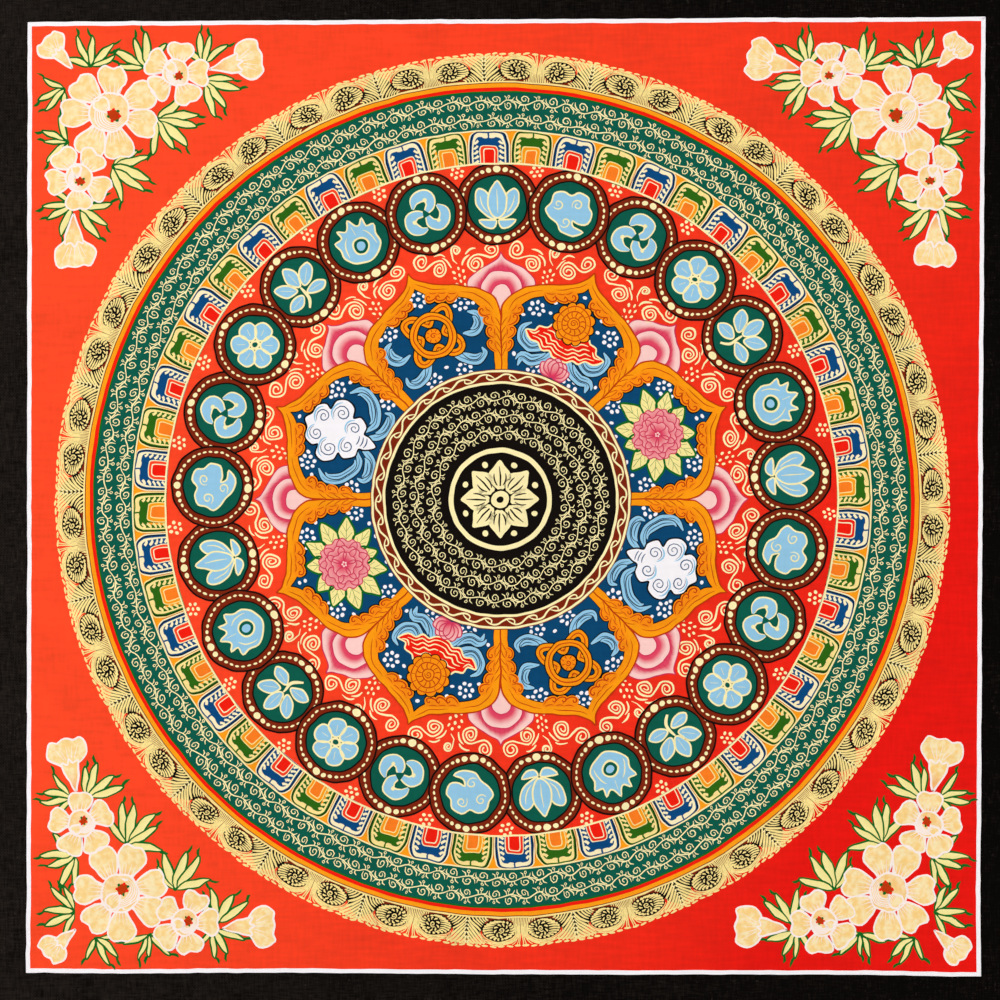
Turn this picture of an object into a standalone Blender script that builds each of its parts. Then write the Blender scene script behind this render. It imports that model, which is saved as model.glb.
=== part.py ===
# A square painted cloth that hangs by its top edge: one sheet of primed cotton with a bare
# margin all round the painted square. Metres, +Z up. The origin is the middle of the top
# edge, and the painted face looks along -Y.

import math
from collections import namedtuple

import bmesh
import bpy

# Driving dimensions
PANEL_WIDTH = 0.500      # painted square, outside its white outline
PANEL_HEIGHT = 0.500
SIDE_MARGIN = 0.028      # bare cloth left and right of the painted square
TOP_MARGIN = 0.028
FOOT_MARGIN = 0.032
SHEET_THICKNESS = 0.0012
CELLS_ACROSS = 32        # about one cell for each 17 mm, a few to every swell
CELLS_DOWN = 32

HALF_WIDTH = PANEL_WIDTH / 2 + SIDE_MARGIN
SHEET_HEIGHT = TOP_MARGIN + PANEL_HEIGHT + FOOT_MARGIN

# How far each corner strays from a true rectangle: side is -1 left, +1 right, and end is
# +1 top, -1 foot.
Corner = namedtuple("Corner", "side end stray_x stray_z")
CORNERS = (
    Corner(-1, +1, +0.0004, -0.0016),
    Corner(+1, +1, +0.0015, +0.0011),
    Corner(+1, -1, -0.0017, -0.0005),
    Corner(-1, -1, -0.0002, +0.0010),
)

# Soft upright swells of the hanging sheet. Each is a ridge (towards the front, minus) or a
# trough (towards the back, plus) that deepens from the top edge to the foot. slant is how
# far its middle moves sideways for each metre down.
Swell = namedtuple("Swell", "middle slant reach top foot")
SWELLS = (
    Swell(middle=-0.235, slant=+0.10, reach=0.055, top=+0.0003, foot=-0.0026),
    Swell(middle=-0.105, slant=-0.06, reach=0.070, top=-0.0004, foot=+0.0020),
    Swell(middle=+0.040, slant=+0.08, reach=0.080, top=+0.0005, foot=-0.0018),
    Swell(middle=+0.165, slant=-0.05, reach=0.060, top=-0.0003, foot=+0.0016),
    Swell(middle=+0.270, slant=-0.04, reach=0.045, top=+0.0004, foot=-0.0024),
)

# The bare margin is softer than the painted square, so it ripples a little along the sides,
# and the two lower corners turn forwards.
RIPPLE_DEPTH = 0.0009
RIPPLE_LENGTH = 0.118
RIPPLE_REACH = 0.030     # how far in from a side edge a ripple dies out
CURL_DEPTH = 0.0060
CURL_REACH = 0.095       # from the corner, along the diagonal


def swell_offset(x, z):
    """How far the swells push the sheet back at a place on it."""
    fall = -z / SHEET_HEIGHT
    total = 0.0
    for swell in SWELLS:
        depth = swell.top + (swell.foot - swell.top) * fall
        middle = swell.middle - swell.slant * z
        total += depth * math.exp(-(((x - middle) / swell.reach) ** 2))
    return total


def edge_offset(x, z):
    """The ripple along the side margins and the turned-up lower corners."""
    from_side = HALF_WIDTH - abs(x)
    ripple = RIPPLE_DEPTH * math.exp(-((from_side / RIPPLE_REACH) ** 2))
    ripple *= math.sin(2 * math.pi * z / RIPPLE_LENGTH + math.copysign(0.8, x))
    from_foot = SHEET_HEIGHT + z
    from_corner = math.hypot(max(from_side, 0.0), max(from_foot, 0.0))
    curl = max(0.0, 1.0 - from_corner / CURL_REACH)
    return ripple - CURL_DEPTH * curl * curl


def place_on_sheet(across, down):
    """A point of the sheet's middle surface, for across and down from 0 to 1."""
    x = (2 * across - 1) * HALF_WIDTH
    z = -down * SHEET_HEIGHT
    for corner in CORNERS:
        share_x = across if corner.side > 0 else 1 - across
        share_z = 1 - down if corner.end > 0 else down
        x += corner.stray_x * share_x * share_z
        z += corner.stray_z * share_x * share_z
    return x, swell_offset(x, z) + edge_offset(x, z), z


def cloth_material():
    """Primed cotton, seen here as its bare black margin."""
    material = bpy.data.materials.new("canvas")
    material.use_nodes = True
    shader = material.node_tree.nodes["Principled BSDF"]
    shader.inputs["Base Color"].default_value = (0.008, 0.007, 0.006, 1.0)
    shader.inputs["Roughness"].default_value = 0.9
    shader.inputs["Metallic"].default_value = 0.0
    return material


def build_sheet(collection):
    """The cloth: a grid bent to its hanging form, then thickened to both sides."""
    grid = bmesh.new()
    bmesh.ops.create_grid(grid, x_segments=CELLS_ACROSS, y_segments=CELLS_DOWN, size=0.5)
    for vert in grid.verts:
        vert.co = place_on_sheet(vert.co.x + 0.5, 0.5 - vert.co.y)
    mesh = bpy.data.meshes.new("painted_cloth")
    grid.to_mesh(mesh)
    grid.free()
    mesh.materials.append(cloth_material())
    mesh.shade_smooth()
    sheet = bpy.data.objects.new("painted_cloth", mesh)
    collection.objects.link(sheet)
    thicken = sheet.modifiers.new("sheet thickness", "SOLIDIFY")
    thicken.thickness = SHEET_THICKNESS
    thicken.offset = 0.0
    return sheet


def main():
    for old in list(bpy.data.objects):
        bpy.data.objects.remove(old, do_unlink=True)
    collection = bpy.data.collections.new("hanging painted cloth")
    bpy.context.scene.collection.children.link(collection)
    build_sheet(collection)


main()
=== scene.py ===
import math

import bmesh
import bpy
import numpy as np
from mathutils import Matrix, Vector, geometry


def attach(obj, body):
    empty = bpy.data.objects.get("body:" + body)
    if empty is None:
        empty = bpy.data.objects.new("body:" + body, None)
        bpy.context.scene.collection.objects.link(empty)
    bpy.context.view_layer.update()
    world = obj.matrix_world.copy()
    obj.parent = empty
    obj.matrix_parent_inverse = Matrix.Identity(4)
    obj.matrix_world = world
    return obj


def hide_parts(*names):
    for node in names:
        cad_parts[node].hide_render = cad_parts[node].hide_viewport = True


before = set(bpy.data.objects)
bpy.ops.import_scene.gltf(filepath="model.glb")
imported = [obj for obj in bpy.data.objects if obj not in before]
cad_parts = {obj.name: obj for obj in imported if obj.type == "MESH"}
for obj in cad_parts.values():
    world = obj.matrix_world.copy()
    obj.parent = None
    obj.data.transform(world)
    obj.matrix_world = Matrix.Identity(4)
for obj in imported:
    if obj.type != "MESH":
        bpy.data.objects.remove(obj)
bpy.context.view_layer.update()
print("stage 1: frame loaded")

mm = 0.001
fullTurn = 2 * math.pi

# The hanging cloth, with the same outline, swells, ripples and turned corners as its solid
cloth = dict(
    halfWidth=0.278, height=0.560, thickness=0.0012, cells=130,
    # how far each corner strays from a true rectangle: side, end, x, z
    corners=((-1, 1, 0.0004, -0.0016), (1, 1, 0.0015, 0.0011),
             (1, -1, -0.0017, -0.0005), (-1, -1, -0.0002, 0.0010)),
    # upright swells: middle, slant, reach, depth at the top, depth at the foot
    swells=((-0.235, 0.10, 0.055, 0.0003, -0.0026), (-0.105, -0.06, 0.070, -0.0004, 0.0020),
            (0.040, 0.08, 0.080, 0.0005, -0.0018), (0.165, -0.05, 0.060, -0.0003, 0.0016),
            (0.270, -0.04, 0.045, 0.0004, -0.0024)),
    rippleDepth=0.0009, rippleLength=0.118, rippleReach=0.030, rippleStart=0.8,
    curlDepth=0.0060, curlReach=0.095,
)

# The painted square in millimetres, its corners out of true, and the middle of its rings
panel = dict(left=-250.0, right=250.0, top=-28.0, foot=-528.0, line=2.2, cells=100,
             strays=((0.4, -1.6), (1.5, 1.1), (-1.7, -0.5), (-0.2, 1.0)))
middle = dict(x=-0.0025, z=-0.2794, driftX=0.0055, driftZ=-0.0008)

# How paint is laid, in metres: scales of the hand's slow and fast strays, where the ray that finds the
# cloth starts and how far it goes, and the welds
hand = dict(slow=26.0, fast=150.0, ahead=0.1, reach=0.3, weld=2e-6, seal=1e-6)


class Wire:
    # one socket of a node tree, so that an expression adds its Math nodes
    def __init__(self, board, socket):
        self.board, self.socket = board, socket

    def maths(self, operation, *others):
        values = dict(enumerate((self, *others)))
        return self.board.node("ShaderNodeMath", dict(operation=operation), values)

    def __add__(self, other):
        return self.maths("ADD", other)

    def __sub__(self, other):
        return self.maths("SUBTRACT", other)

    def __rsub__(self, other):
        return (self * -1.0).maths("ADD", other)

    def __mul__(self, other):
        return self.maths("MULTIPLY", other)

    def __truediv__(self, other):
        return self.maths("DIVIDE", other)

    def __pow__(self, other):
        return self.maths("POWER", other)

    __radd__, __rmul__ = __add__, __mul__

    def between(self, low, high):
        return self.maths("MAXIMUM", low).maths("MINIMUM", high)

    def out(self, name):
        return Wire(self.board, self.socket.node.outputs[name])


class Board:
    # a node tree: every node comes from node(), with its settings set before its sockets
    def __init__(self, tree):
        self.tree = tree

    def node(self, kind, settings=None, sockets=None, out=0):
        made = self.tree.nodes.new(kind)
        for name, value in (settings or {}).items():
            setattr(made, name, value)
        for key, value in (sockets or {}).items():
            for item in value if isinstance(value, list) else [value]:
                if isinstance(item, Wire):
                    self.tree.links.new(item.socket, made.inputs[key])
                else:
                    made.inputs[key].default_value = item
        return Wire(self, made.outputs[out])

    def mix(self, share, first, second):
        # colours as red, green and blue, 0 to 255, or as wires
        ends = [end if isinstance(end, Wire) else (*linear(*end), 1) for end in (first, second)]
        return self.node("ShaderNodeMix", dict(data_type="RGBA"),
                         {"Factor": share, 6: ends[0], 7: ends[1]}, 2)

    def noise(self, scale, detail=2.0, stretch=None, roughness=0.5):
        # noise in the object's own coordinates, drawn out along some axes if stretch is given
        spot = self.node("ShaderNodeTexCoord", None, None, "Object")
        if stretch:
            spot = self.node("ShaderNodeMapping", None, {"Vector": spot, "Scale": stretch})
        return self.node("ShaderNodeTexNoise", None, {
            "Vector": spot, "Scale": scale, "Detail": detail, "Roughness": roughness})


def linear(red, green, blue):
    # screen colour, 0 to 255, as the linear light that a shader takes
    def one(value):
        value /= 255
        return value / 12.92 if value <= 0.04045 else ((value + 0.055) / 1.055) ** 2.4
    return one(red), one(green), one(blue)


def newTree(name, sockets):
    # a Geometry Nodes tree with a Geometry input and output and the named inputs
    tree = bpy.data.node_groups.new(name, "GeometryNodeTree")
    tree.interface.new_socket("Geometry", in_out="INPUT", socket_type="NodeSocketGeometry")
    for label, kind in sockets:
        tree.interface.new_socket(label, in_out="INPUT", socket_type="NodeSocket" + kind)
    tree.interface.new_socket("Geometry", in_out="OUTPUT", socket_type="NodeSocketGeometry")
    board = Board(tree)
    return board, board.node("NodeGroupInput")


def finishTree(board, shapes, paint):
    # every tree ends as real geometry in one paint
    real = board.node("GeometryNodeRealizeInstances", None, {0: shapes})
    painted = board.node("GeometryNodeSetMaterial", None, {"Geometry": real, "Material": paint})
    end = board.tree.nodes.new("NodeGroupOutput")
    board.tree.links.new(painted.socket, end.inputs[0])


def layOnCloth(board, shapes, start):
    # an unsteady hand, then each point straight back onto the cloth, then the paint's thickness
    def vector(operation, first, second):
        return board.node("ShaderNodeVectorMath", dict(operation=operation), {0: first, 1: second})
    place = board.node("GeometryNodeInputPosition")
    slow = board.node("ShaderNodeTexNoise", None, {"Vector": place, "Scale": hand["slow"], "Detail": 1.0}, 1)
    fast = board.node("ShaderNodeTexNoise", None, {"Vector": place, "Scale": hand["fast"], "Detail": 0.0}, 1)
    shake = vector("MULTIPLY", vector("SUBTRACT", vector("ADD", slow, fast), (1, 1, 1)), (1, 0, 1))
    push = board.node("ShaderNodeVectorMath", dict(operation="SCALE"),
                      {0: shake, "Scale": start.out("Wobble")})
    drawn = board.node("GeometryNodeSetPosition", None, {"Geometry": shapes, "Offset": push})
    across = board.node("ShaderNodeSeparateXYZ", None, {0: place})
    before = board.node("ShaderNodeCombineXYZ", None, {0: across, 1: -hand["ahead"], 2: across.out("Z")})
    solid = board.node("GeometryNodeObjectInfo", None, {"Object": start.out("Cloth")}).out("Geometry")
    hit = board.node("GeometryNodeRaycast", None, {
        "Target Geometry": solid, "Source Position": before,
        "Ray Direction": (0, 1, 0), "Ray Length": hand["reach"]}).out("Hit Position")
    laid = board.node("GeometryNodeSetPosition", None, {"Geometry": drawn, "Position": hit})
    joined = board.node("GeometryNodeMergeByDistance", None, {"Geometry": laid, "Distance": hand["weld"]})
    normal = board.node("ShaderNodeSeparateXYZ", None, {0: board.node("GeometryNodeInputNormal")})
    away = normal.out("Y").maths("GREATER_THAN", 0.0)
    facing = board.node("GeometryNodeFlipFaces", None, {"Mesh": joined, "Selection": away})
    coat = board.node("GeometryNodeInputNamedAttribute", dict(data_type="FLOAT"), {"Name": "coat"})
    raised = board.node("GeometryNodeExtrudeMesh", None, {
        "Mesh": facing, "Offset": (0, -1, 0), "Offset Scale": coat, "Individual": False})
    under = board.node("GeometryNodeFlipFaces", None, {"Mesh": facing})
    whole = board.node("GeometryNodeJoinGeometry", None, {0: [raised, under]})
    shell = board.node("GeometryNodeMergeByDistance", None, {"Geometry": whole, "Distance": hand["seal"]})
    return board.node("GeometryNodeSetShadeSmooth", None, {"Geometry": shell, "Shade Smooth": False})


def makeWrapTree():
    # copies of a straight unit in a row, bent round a ring whose middle drifts with its radius
    board, start = newTree("wrap round a ring", (
        ("Cloth", "Object"), ("Copies", "Int"), ("Radius", "Float"), ("Turn", "Float"),
        ("Wobble", "Float"), ("Paint", "Material")))
    radius, turn = start.out("Radius"), start.out("Turn")
    pitch = radius * fullTurn / start.out("Copies")
    step = board.node("ShaderNodeCombineXYZ", None, {0: pitch})
    line = board.node("GeometryNodeMeshLine", None, {"Count": start.out("Copies"), "Offset": step})
    copies = board.node("GeometryNodeInstanceOnPoints", None, {
        "Points": line, "Instance": start.out("Geometry")})
    real = board.node("GeometryNodeRealizeInstances", None, {0: copies})
    place = board.node("ShaderNodeSeparateXYZ", None, {0: board.node("GeometryNodeInputPosition")})
    angle = place / radius + turn
    far = place.out("Z") + radius
    bent = board.node("ShaderNodeCombineXYZ", None, {
        0: far * angle.maths("SINE") + far * middle["driftX"] + middle["x"],
        2: far * angle.maths("COSINE") + far * middle["driftZ"] + middle["z"]})
    ring = board.node("GeometryNodeSetPosition", None, {"Geometry": real, "Position": bent})
    finishTree(board, layOnCloth(board, ring, start), start.out("Paint"))
    return board.tree


def makeSpotTree():
    # stiff copies of a unit at spots that say how far each is turned, sized and flipped
    board, start = newTree("copies at spots", (
        ("Cloth", "Object"), ("Spots", "Object"), ("Wobble", "Float"), ("Paint", "Material")))
    spots = board.node("GeometryNodeObjectInfo", None, {"Object": start.out("Spots")}).out("Geometry")

    def named(name):
        return board.node("GeometryNodeInputNamedAttribute", dict(data_type="FLOAT"), {"Name": name})
    turned = board.node("ShaderNodeCombineXYZ", None, {1: named("turn")})
    size = named("size")
    sized = board.node("ShaderNodeCombineXYZ", None, {0: size * named("flip"), 1: 1.0, 2: size})
    copies = board.node("GeometryNodeInstanceOnPoints", None, {
        "Points": spots, "Instance": start.out("Geometry"), "Scale": sized,
        "Rotation": board.node("FunctionNodeEulerToRotation", None, {0: turned})})
    real = board.node("GeometryNodeRealizeInstances", None, {0: copies})
    finishTree(board, layOnCloth(board, real, start), start.out("Paint"))
    return board.tree


def runTree(mesh, tree, values):
    # the evaluated tree as a plain mesh; inputs go in by identifier before it is first evaluated
    source = bpy.data.objects.new("drawing", mesh)
    bpy.context.scene.collection.objects.link(source)
    modifier = source.modifiers.new("brush", "NODES")
    modifier.node_group = tree
    for item in tree.interface.items_tree:
        if item.in_out == "INPUT" and item.name in values:
            modifier[item.identifier] = values[item.name]
    depsgraph = bpy.context.evaluated_depsgraph_get()
    made = bpy.data.meshes.new_from_object(source.evaluated_get(depsgraph))
    bpy.data.objects.remove(source)
    bpy.data.meshes.remove(mesh)
    return made


def blend(a, b, share):
    return a + (b - a) * share


def smoothLine(points, steps=6, closed=False):
    # a curve through given points
    given = np.array(points, float)
    count = len(given)
    before, after = 2 * given[:1] - given[1:2], 2 * given[-1:] - given[-2:-1]
    if closed:
        before, after = given[-1:], given[:2]
    run = np.vstack((before, given, after))
    share = np.linspace(0, 1, steps, endpoint=False)[:, None]
    parts = []
    for i in range(count if closed else count - 1):
        a, b, c, d = run[i:i + 4]
        parts.append(0.5 * (2 * b + (c - a) * share + (2 * a - 5 * b + 4 * c - d) * share ** 2
                            + (3 * b - a - 3 * c + d) * share ** 3))
    if not closed:
        parts.append(given[-1:])
    return np.vstack(parts)


def arc(x, y, radius, first, last, steps=12):
    # angles in degrees, anticlockwise from the right
    turn = np.radians(np.linspace(first, last, steps))
    return np.column_stack((x + radius * np.cos(turn), y + radius * np.sin(turn)))


def rim(x, y, radius, angle):
    # one point on a circle
    return arc(x, y, radius, angle, angle, 1)[0]


def spiral(x, y, outer, inner, first, turns, steps=16):
    # winds inwards; a minus sign in turns winds clockwise
    share = np.linspace(0, 1, steps)
    turn = np.radians(first) + fullTurn * turns * share
    radius = blend(outer, inner, share ** 0.85)
    return np.column_stack((x + radius * np.cos(turn), y + radius * np.sin(turn)))


def bow(first, last, rise, steps=7):
    # one bent brush stroke; rise is how far its middle stands off the straight, to the left
    first, last = np.array(first, float), np.array(last, float)
    share = np.linspace(0, 1, steps)[:, None]
    way = last - first
    side = np.array((-way[1], way[0])) / (np.hypot(*way) + 1e-9)
    return blend(first, last, share) + side * rise * 4 * share * (1 - share)


def flipped(path):
    return np.array(path, float) * (-1, 1)


def mirrored(half, steps=3):
    # a closed, smooth outline from its right half, from the top down
    half = np.array(half, float)
    return smoothLine(np.vstack((half, flipped(half[-2:0:-1]))), steps, closed=True)


def bothSides(spots):
    # each spot off the middle line twice, first on the left
    return [(side * x, y) for x, y in spots for side in ((-1, 1) if x else (1,))]


def closed(outline):
    return np.vstack((outline, outline[:1]))


def moved(path, x=0.0, y=0.0, turn=0.0, size=1.0, flip=1):
    # turn in degrees, clockwise from up
    sine, cosine = math.sin(math.radians(turn)), math.cos(math.radians(turn))
    a = np.array(path, float) * (flip * size, size)
    return np.column_stack((a[:, 0] * cosine + a[:, 1] * sine + x,
                            a[:, 1] * cosine - a[:, 0] * sine + y))


def roomAround(outline, point):
    # distance to the outline, or minus one outside it
    a, b, p = outline, np.roll(outline, -1, axis=0), np.asarray(point)
    crosses = ((a[:, 1] > p[1]) != (b[:, 1] > p[1])) & (
        p[0] < (b[:, 0] - a[:, 0]) * (p[1] - a[:, 1]) / (b[:, 1] - a[:, 1] + 1e-12) + a[:, 0])
    if crosses.sum() % 2 == 0:
        return -1.0
    edge = b - a
    share = np.clip(((p - a) * edge).sum(1) / ((edge ** 2).sum(1) + 1e-12), 0, 1)
    return float(np.hypot(*(a + edge * share[:, None] - p).T).min())


# Paint goes on in numbered coats, each a step in millimetres above the last; strokes of one coat differ
# by a hair, so that none lies in another
coats = dict(step=0.04, hair=0.0022, hairs=6)
# Points inside a fill, in cells: the least width that has any, the rise from row to row, and the room
# kept to the outline
fillRows = dict(least=1.6, rise=0.87, clear=0.35)
taper, leastArea = 0.4, 1e-5  # share of a stroke over which an end narrows, smallest face kept


class Art:
    # flat brushwork in millimetres, x to the right and y up or outwards, sorted by paint
    def __init__(self):
        self.layers, self.strokes = {}, 0

    def add(self, paint, points, faces, coat, shade):
        shades = np.full(len(points), shade) if np.isscalar(shade) else np.asarray(shade, float)
        thick = coat * coats["step"] + coats["hair"] * (self.strokes % coats["hairs"])
        self.strokes += 1
        self.layers.setdefault(paint, []).append((np.asarray(points, float), faces, thick, shades))

    def stroke(self, paint, path, width, ends=(0.35, 0.35), coat=5, shade=0.5):
        # a ribbon of paint that narrows towards its ends
        path = np.asarray(path, float)
        steps = np.diff(path, axis=0)
        along = np.concatenate(([0.0], np.cumsum(np.hypot(*steps.T))))
        along /= along[-1]
        way = np.vstack((steps[:1], steps[1:] + steps[:-1], steps[-1:]))
        if np.allclose(path[0], path[-1]):
            way[0] = way[-1] = steps[0] + steps[-1]
        way /= np.hypot(*way.T)[:, None] + 1e-9
        side = np.column_stack((-way[:, 1], way[:, 0]))
        rise, fall = np.clip(along / taper, 0, 1), np.clip((1 - along) / taper, 0, 1)
        wide = blend(ends[0], 1, rise * (2 - rise)) * blend(ends[1], 1, fall * (2 - fall))
        half = (width / 2 * wide)[:, None]
        count = len(path)
        faces = [(i, i + 1, count + i + 1, count + i) for i in range(count - 1)]
        self.add(paint, np.vstack((path + side * half, path - side * half)), faces, coat, shade)

    def loft(self, paint, first, last, rows=2, coat=3, shade=(0.5, 0.5)):
        # a sheet of quads between two paths of equal length
        first, last = np.asarray(first, float), np.asarray(last, float)
        shares = np.linspace(0, 1, rows + 1)
        points = np.vstack([blend(first, last, share) for share in shares])
        shades = np.repeat(blend(shade[0], shade[1], shares), len(first))
        wide = len(first)
        faces = [(r * wide + i, r * wide + i + 1, (r + 1) * wide + i + 1, (r + 1) * wide + i)
                 for r in range(rows) for i in range(wide - 1)]
        self.add(paint, points, faces, coat, shades)

    def fill(self, paint, outline, coat=3, shade=0.5, cell=5.0):
        # any outline, with points inside it so that a large fill follows the cloth
        outline = np.asarray(outline, float)
        low, high = outline.min(0), outline.max(0)
        inner = []
        if (high - low).min() > fillRows["least"] * cell:
            for row, y in enumerate(np.arange(low[1] + cell / 2, high[1], cell * fillRows["rise"])):
                for x in np.arange(low[0] + cell * (row % 2 + 1) / 2, high[0], cell):
                    if roomAround(outline, (x, y)) > cell * fillRows["clear"]:
                        inner.append(Vector((x, y)))
        loop = list(range(len(outline)))
        points, _, faces, *_ = geometry.delaunay_2d_cdt(
            [Vector(p) for p in outline] + inner, [], [loop], 1, 1e-4)
        points = np.array([tuple(p) for p in points])
        shades = shade(points) if callable(shade) else shade
        self.add(paint, points, [tuple(face) for face in faces], coat, shades)

    def shape(self, paint, outline, edge, width, coat=3, shade=0.5, cell=5.0):
        # a fill with a line round it
        self.fill(paint, outline, coat, shade, cell)
        self.stroke(edge, closed(outline), width, (1, 1), coat + 1)

    def oval(self, paint, x, y, wide, high=None, turn=0.0, sides=9, coat=5, shade=0.5):
        ring = arc(0, 0, 1, 0, 360, sides + 1)[:-1] * (wide, wide if high is None else high)
        self.add(paint, moved(ring, x, y, turn), [tuple(range(sides))], coat, shade)

    def disc(self, paint, radius, coat, cell):
        # a round plate with rings of points inside it
        sides, shade = 48, 0.3
        rings = max(2, round(radius / cell))
        points = [(0.0, 0.0)]
        for ring in range(1, rings + 1):
            points.extend(arc(0, 0, radius * ring / rings, 0, 360, sides + 1)[:-1])
        faces = []
        for i in range(sides):
            j = (i + 1) % sides
            faces.append((0, 1 + i, 1 + j))
            for ring in range(1, rings):
                low, high = 1 + (ring - 1) * sides, 1 + ring * sides
                faces.append((low + i, high + i, high + j, low + j))
        self.add(paint, points, faces, coat, shade)

    def copy(self, other, lift=0, **where):
        # another piece of brushwork set down here, some coats higher
        for paint, parts in other.layers.items():
            for points, faces, thick, shades in parts:
                self.layers.setdefault(paint, []).append(
                    (moved(points, **where), faces, thick + lift * coats["step"], shades))

    def meshes(self):
        # one flat mesh for each paint, in metres and facing the viewer
        for paint, parts in self.layers.items():
            points, faces, thickness, shades, first = [], [], [], [], 0
            for spots, shapes, thick, tones in parts:
                for shape in shapes:
                    ring = spots[list(shape)]
                    area = np.sum(ring[:, 0] * np.roll(ring[:, 1], -1)
                                  - ring[:, 1] * np.roll(ring[:, 0], -1)) / 2
                    if abs(area) > leastArea:
                        faces.append([first + i for i in (shape if area > 0 else shape[::-1])])
                        thickness.append(thick * mm)
                points.append(spots)
                shades.append(tones)
                first += len(spots)
            mesh = bpy.data.meshes.new(paint)
            mesh.from_pydata([(x, 0.0, z) for x, z in np.vstack(points) * mm], [], faces)
            mesh.attributes.new("coat", "FLOAT", "FACE").data.foreach_set("value", thickness)
            mesh.attributes.new("shade", "FLOAT", "POINT").data.foreach_set(
                "value", np.concatenate(shades))
            yield paint, mesh


# Each paint: its colour, how much its patches differ and its slot. Toned is what a stroke's shade mixes
# in, far is the painted shade it darkens to at the lower right, away from the light at the left, and
# mottle is the colour of its dabs.
paints = dict(
    # red: warm where lit at the left; its far colour is painted shade at the right and foot
    red=dict(colour=(255, 73, 36), far=(233, 18, 9), patches=0.2, slot="red_paint"),
    brightRed=dict(colour=(242, 26, 6), patches=0.14, slot="red_paint"),
    black=dict(colour=(12, 5, 1), patches=0.3, slot="dark_paint"),
    maroon=dict(colour=(124, 34, 8), patches=0.2, slot="dark_paint"),
    brown=dict(colour=(192, 56, 6), patches=0.16, slot="orange_paint"),
    gold=dict(colour=(254, 228, 148), patches=0.2, slot="gold_paint", metal=0.1, rough=0.55),
    cream=dict(colour=(255, 240, 180), patches=0.12, slot="gold_paint"),
    ivory=dict(colour=(252, 238, 194), patches=0.08, slot="white_paint"),
    amber=dict(colour=(252, 158, 20), patches=0.14, slot="orange_paint"),
    orange=dict(colour=(254, 160, 10), toned=(244, 116, 14), patches=0.16, slot="orange_paint"),
    flame=dict(colour=(252, 126, 30), patches=0.14, slot="orange_paint"),
    green=dict(colour=(4, 88, 71), patches=0.22, slot="green_paint"),
    leafGreen=dict(colour=(42, 100, 14), patches=0.2, slot="green_paint"),
    blue=dict(colour=(2, 68, 110), patches=0.22, slot="blue_paint"),
    petalBlue=dict(colour=(2, 70, 124), patches=0.2, slot="blue_paint"),
    sky=dict(colour=(148, 200, 230), patches=0.1, slot="blue_paint"),
    white=dict(colour=(250, 246, 250), patches=0.06, slot="white_paint"),
    shell=dict(colour=(255, 240, 234), patches=0.06, slot="white_paint"),
    pink=dict(colour=(255, 212, 204), toned=(226, 56, 92), patches=0.1, slot="pink_paint"),
    rose=dict(colour=(212, 54, 92), patches=0.1, slot="pink_paint"),
    blossom=dict(colour=(252, 214, 140), far=(253, 212, 134), toned=(246, 148, 84), mottle=(255, 234, 184),
                 patches=0.08, slot="white_paint"),
    leaf=dict(colour=(253, 240, 166), toned=(236, 216, 118), patches=0.1, slot="gold_paint"),
    stem=dict(colour=(14, 102, 30), patches=0.2, slot="green_paint"),
)
# The cloth's weave, in metres, and painted shade: how a paint with a far colour darkens to the right and
# to the foot, as if lit from the left
weave = dict(pitch=0.00078, depth=0.00006, ridges=0.35, checks=0.3, level=0.35)
paintedSideShade = dict(power=1.2, top=0.65, down=1.46, level=0.04)
# The brush: scales of its patches, streaks, wisps, dabs and grain, and how far each moves the tone
brush = dict(patch=34.0, streak=(60, 60, 420), wisp=(520, 90, 90), dab=330.0, grain=900.0,
             patchTone=1.6, streakTone=1.5, wispTone=0.9, weaveTone=0.35, rough=0.72)


def threads(board):
    # plain weave: two sets of rounded threads, each over one and under one
    spot = board.node("ShaderNodeTexCoord", None, None, "Object")
    x = board.node("ShaderNodeSeparateXYZ", None, {0: spot})
    z = x.out("Z")
    warp = (x * (fullTurn / weave["pitch"])).maths("SINE").maths("ABSOLUTE")
    weft = (z * (fullTurn / weave["pitch"])).maths("SINE").maths("ABSOLUTE")
    half = math.pi / weave["pitch"]
    checks = (x * half).maths("SINE") * (z * half).maths("SINE")
    return x, z, (warp + weft) * weave["ridges"] + checks * weave["checks"]


def newMaterial(name, specular, metal=0.0):
    material = bpy.data.materials.new(name)
    material.use_nodes = True
    shader = material.node_tree.nodes["Principled BSDF"]
    shader.inputs["Specular IOR Level"].default_value = specular
    shader.inputs["Metallic"].default_value = metal
    return material, Board(material.node_tree), shader


def connect(board, shader, colour, roughness, relief, depth, strength):
    bump = board.node("ShaderNodeBump", None, {"Strength": strength, "Distance": depth, "Height": relief})
    for key, value in (("Base Color", colour), ("Roughness", roughness), ("Normal", bump)):
        board.tree.links.new(value.socket, shader.inputs[key])


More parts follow.
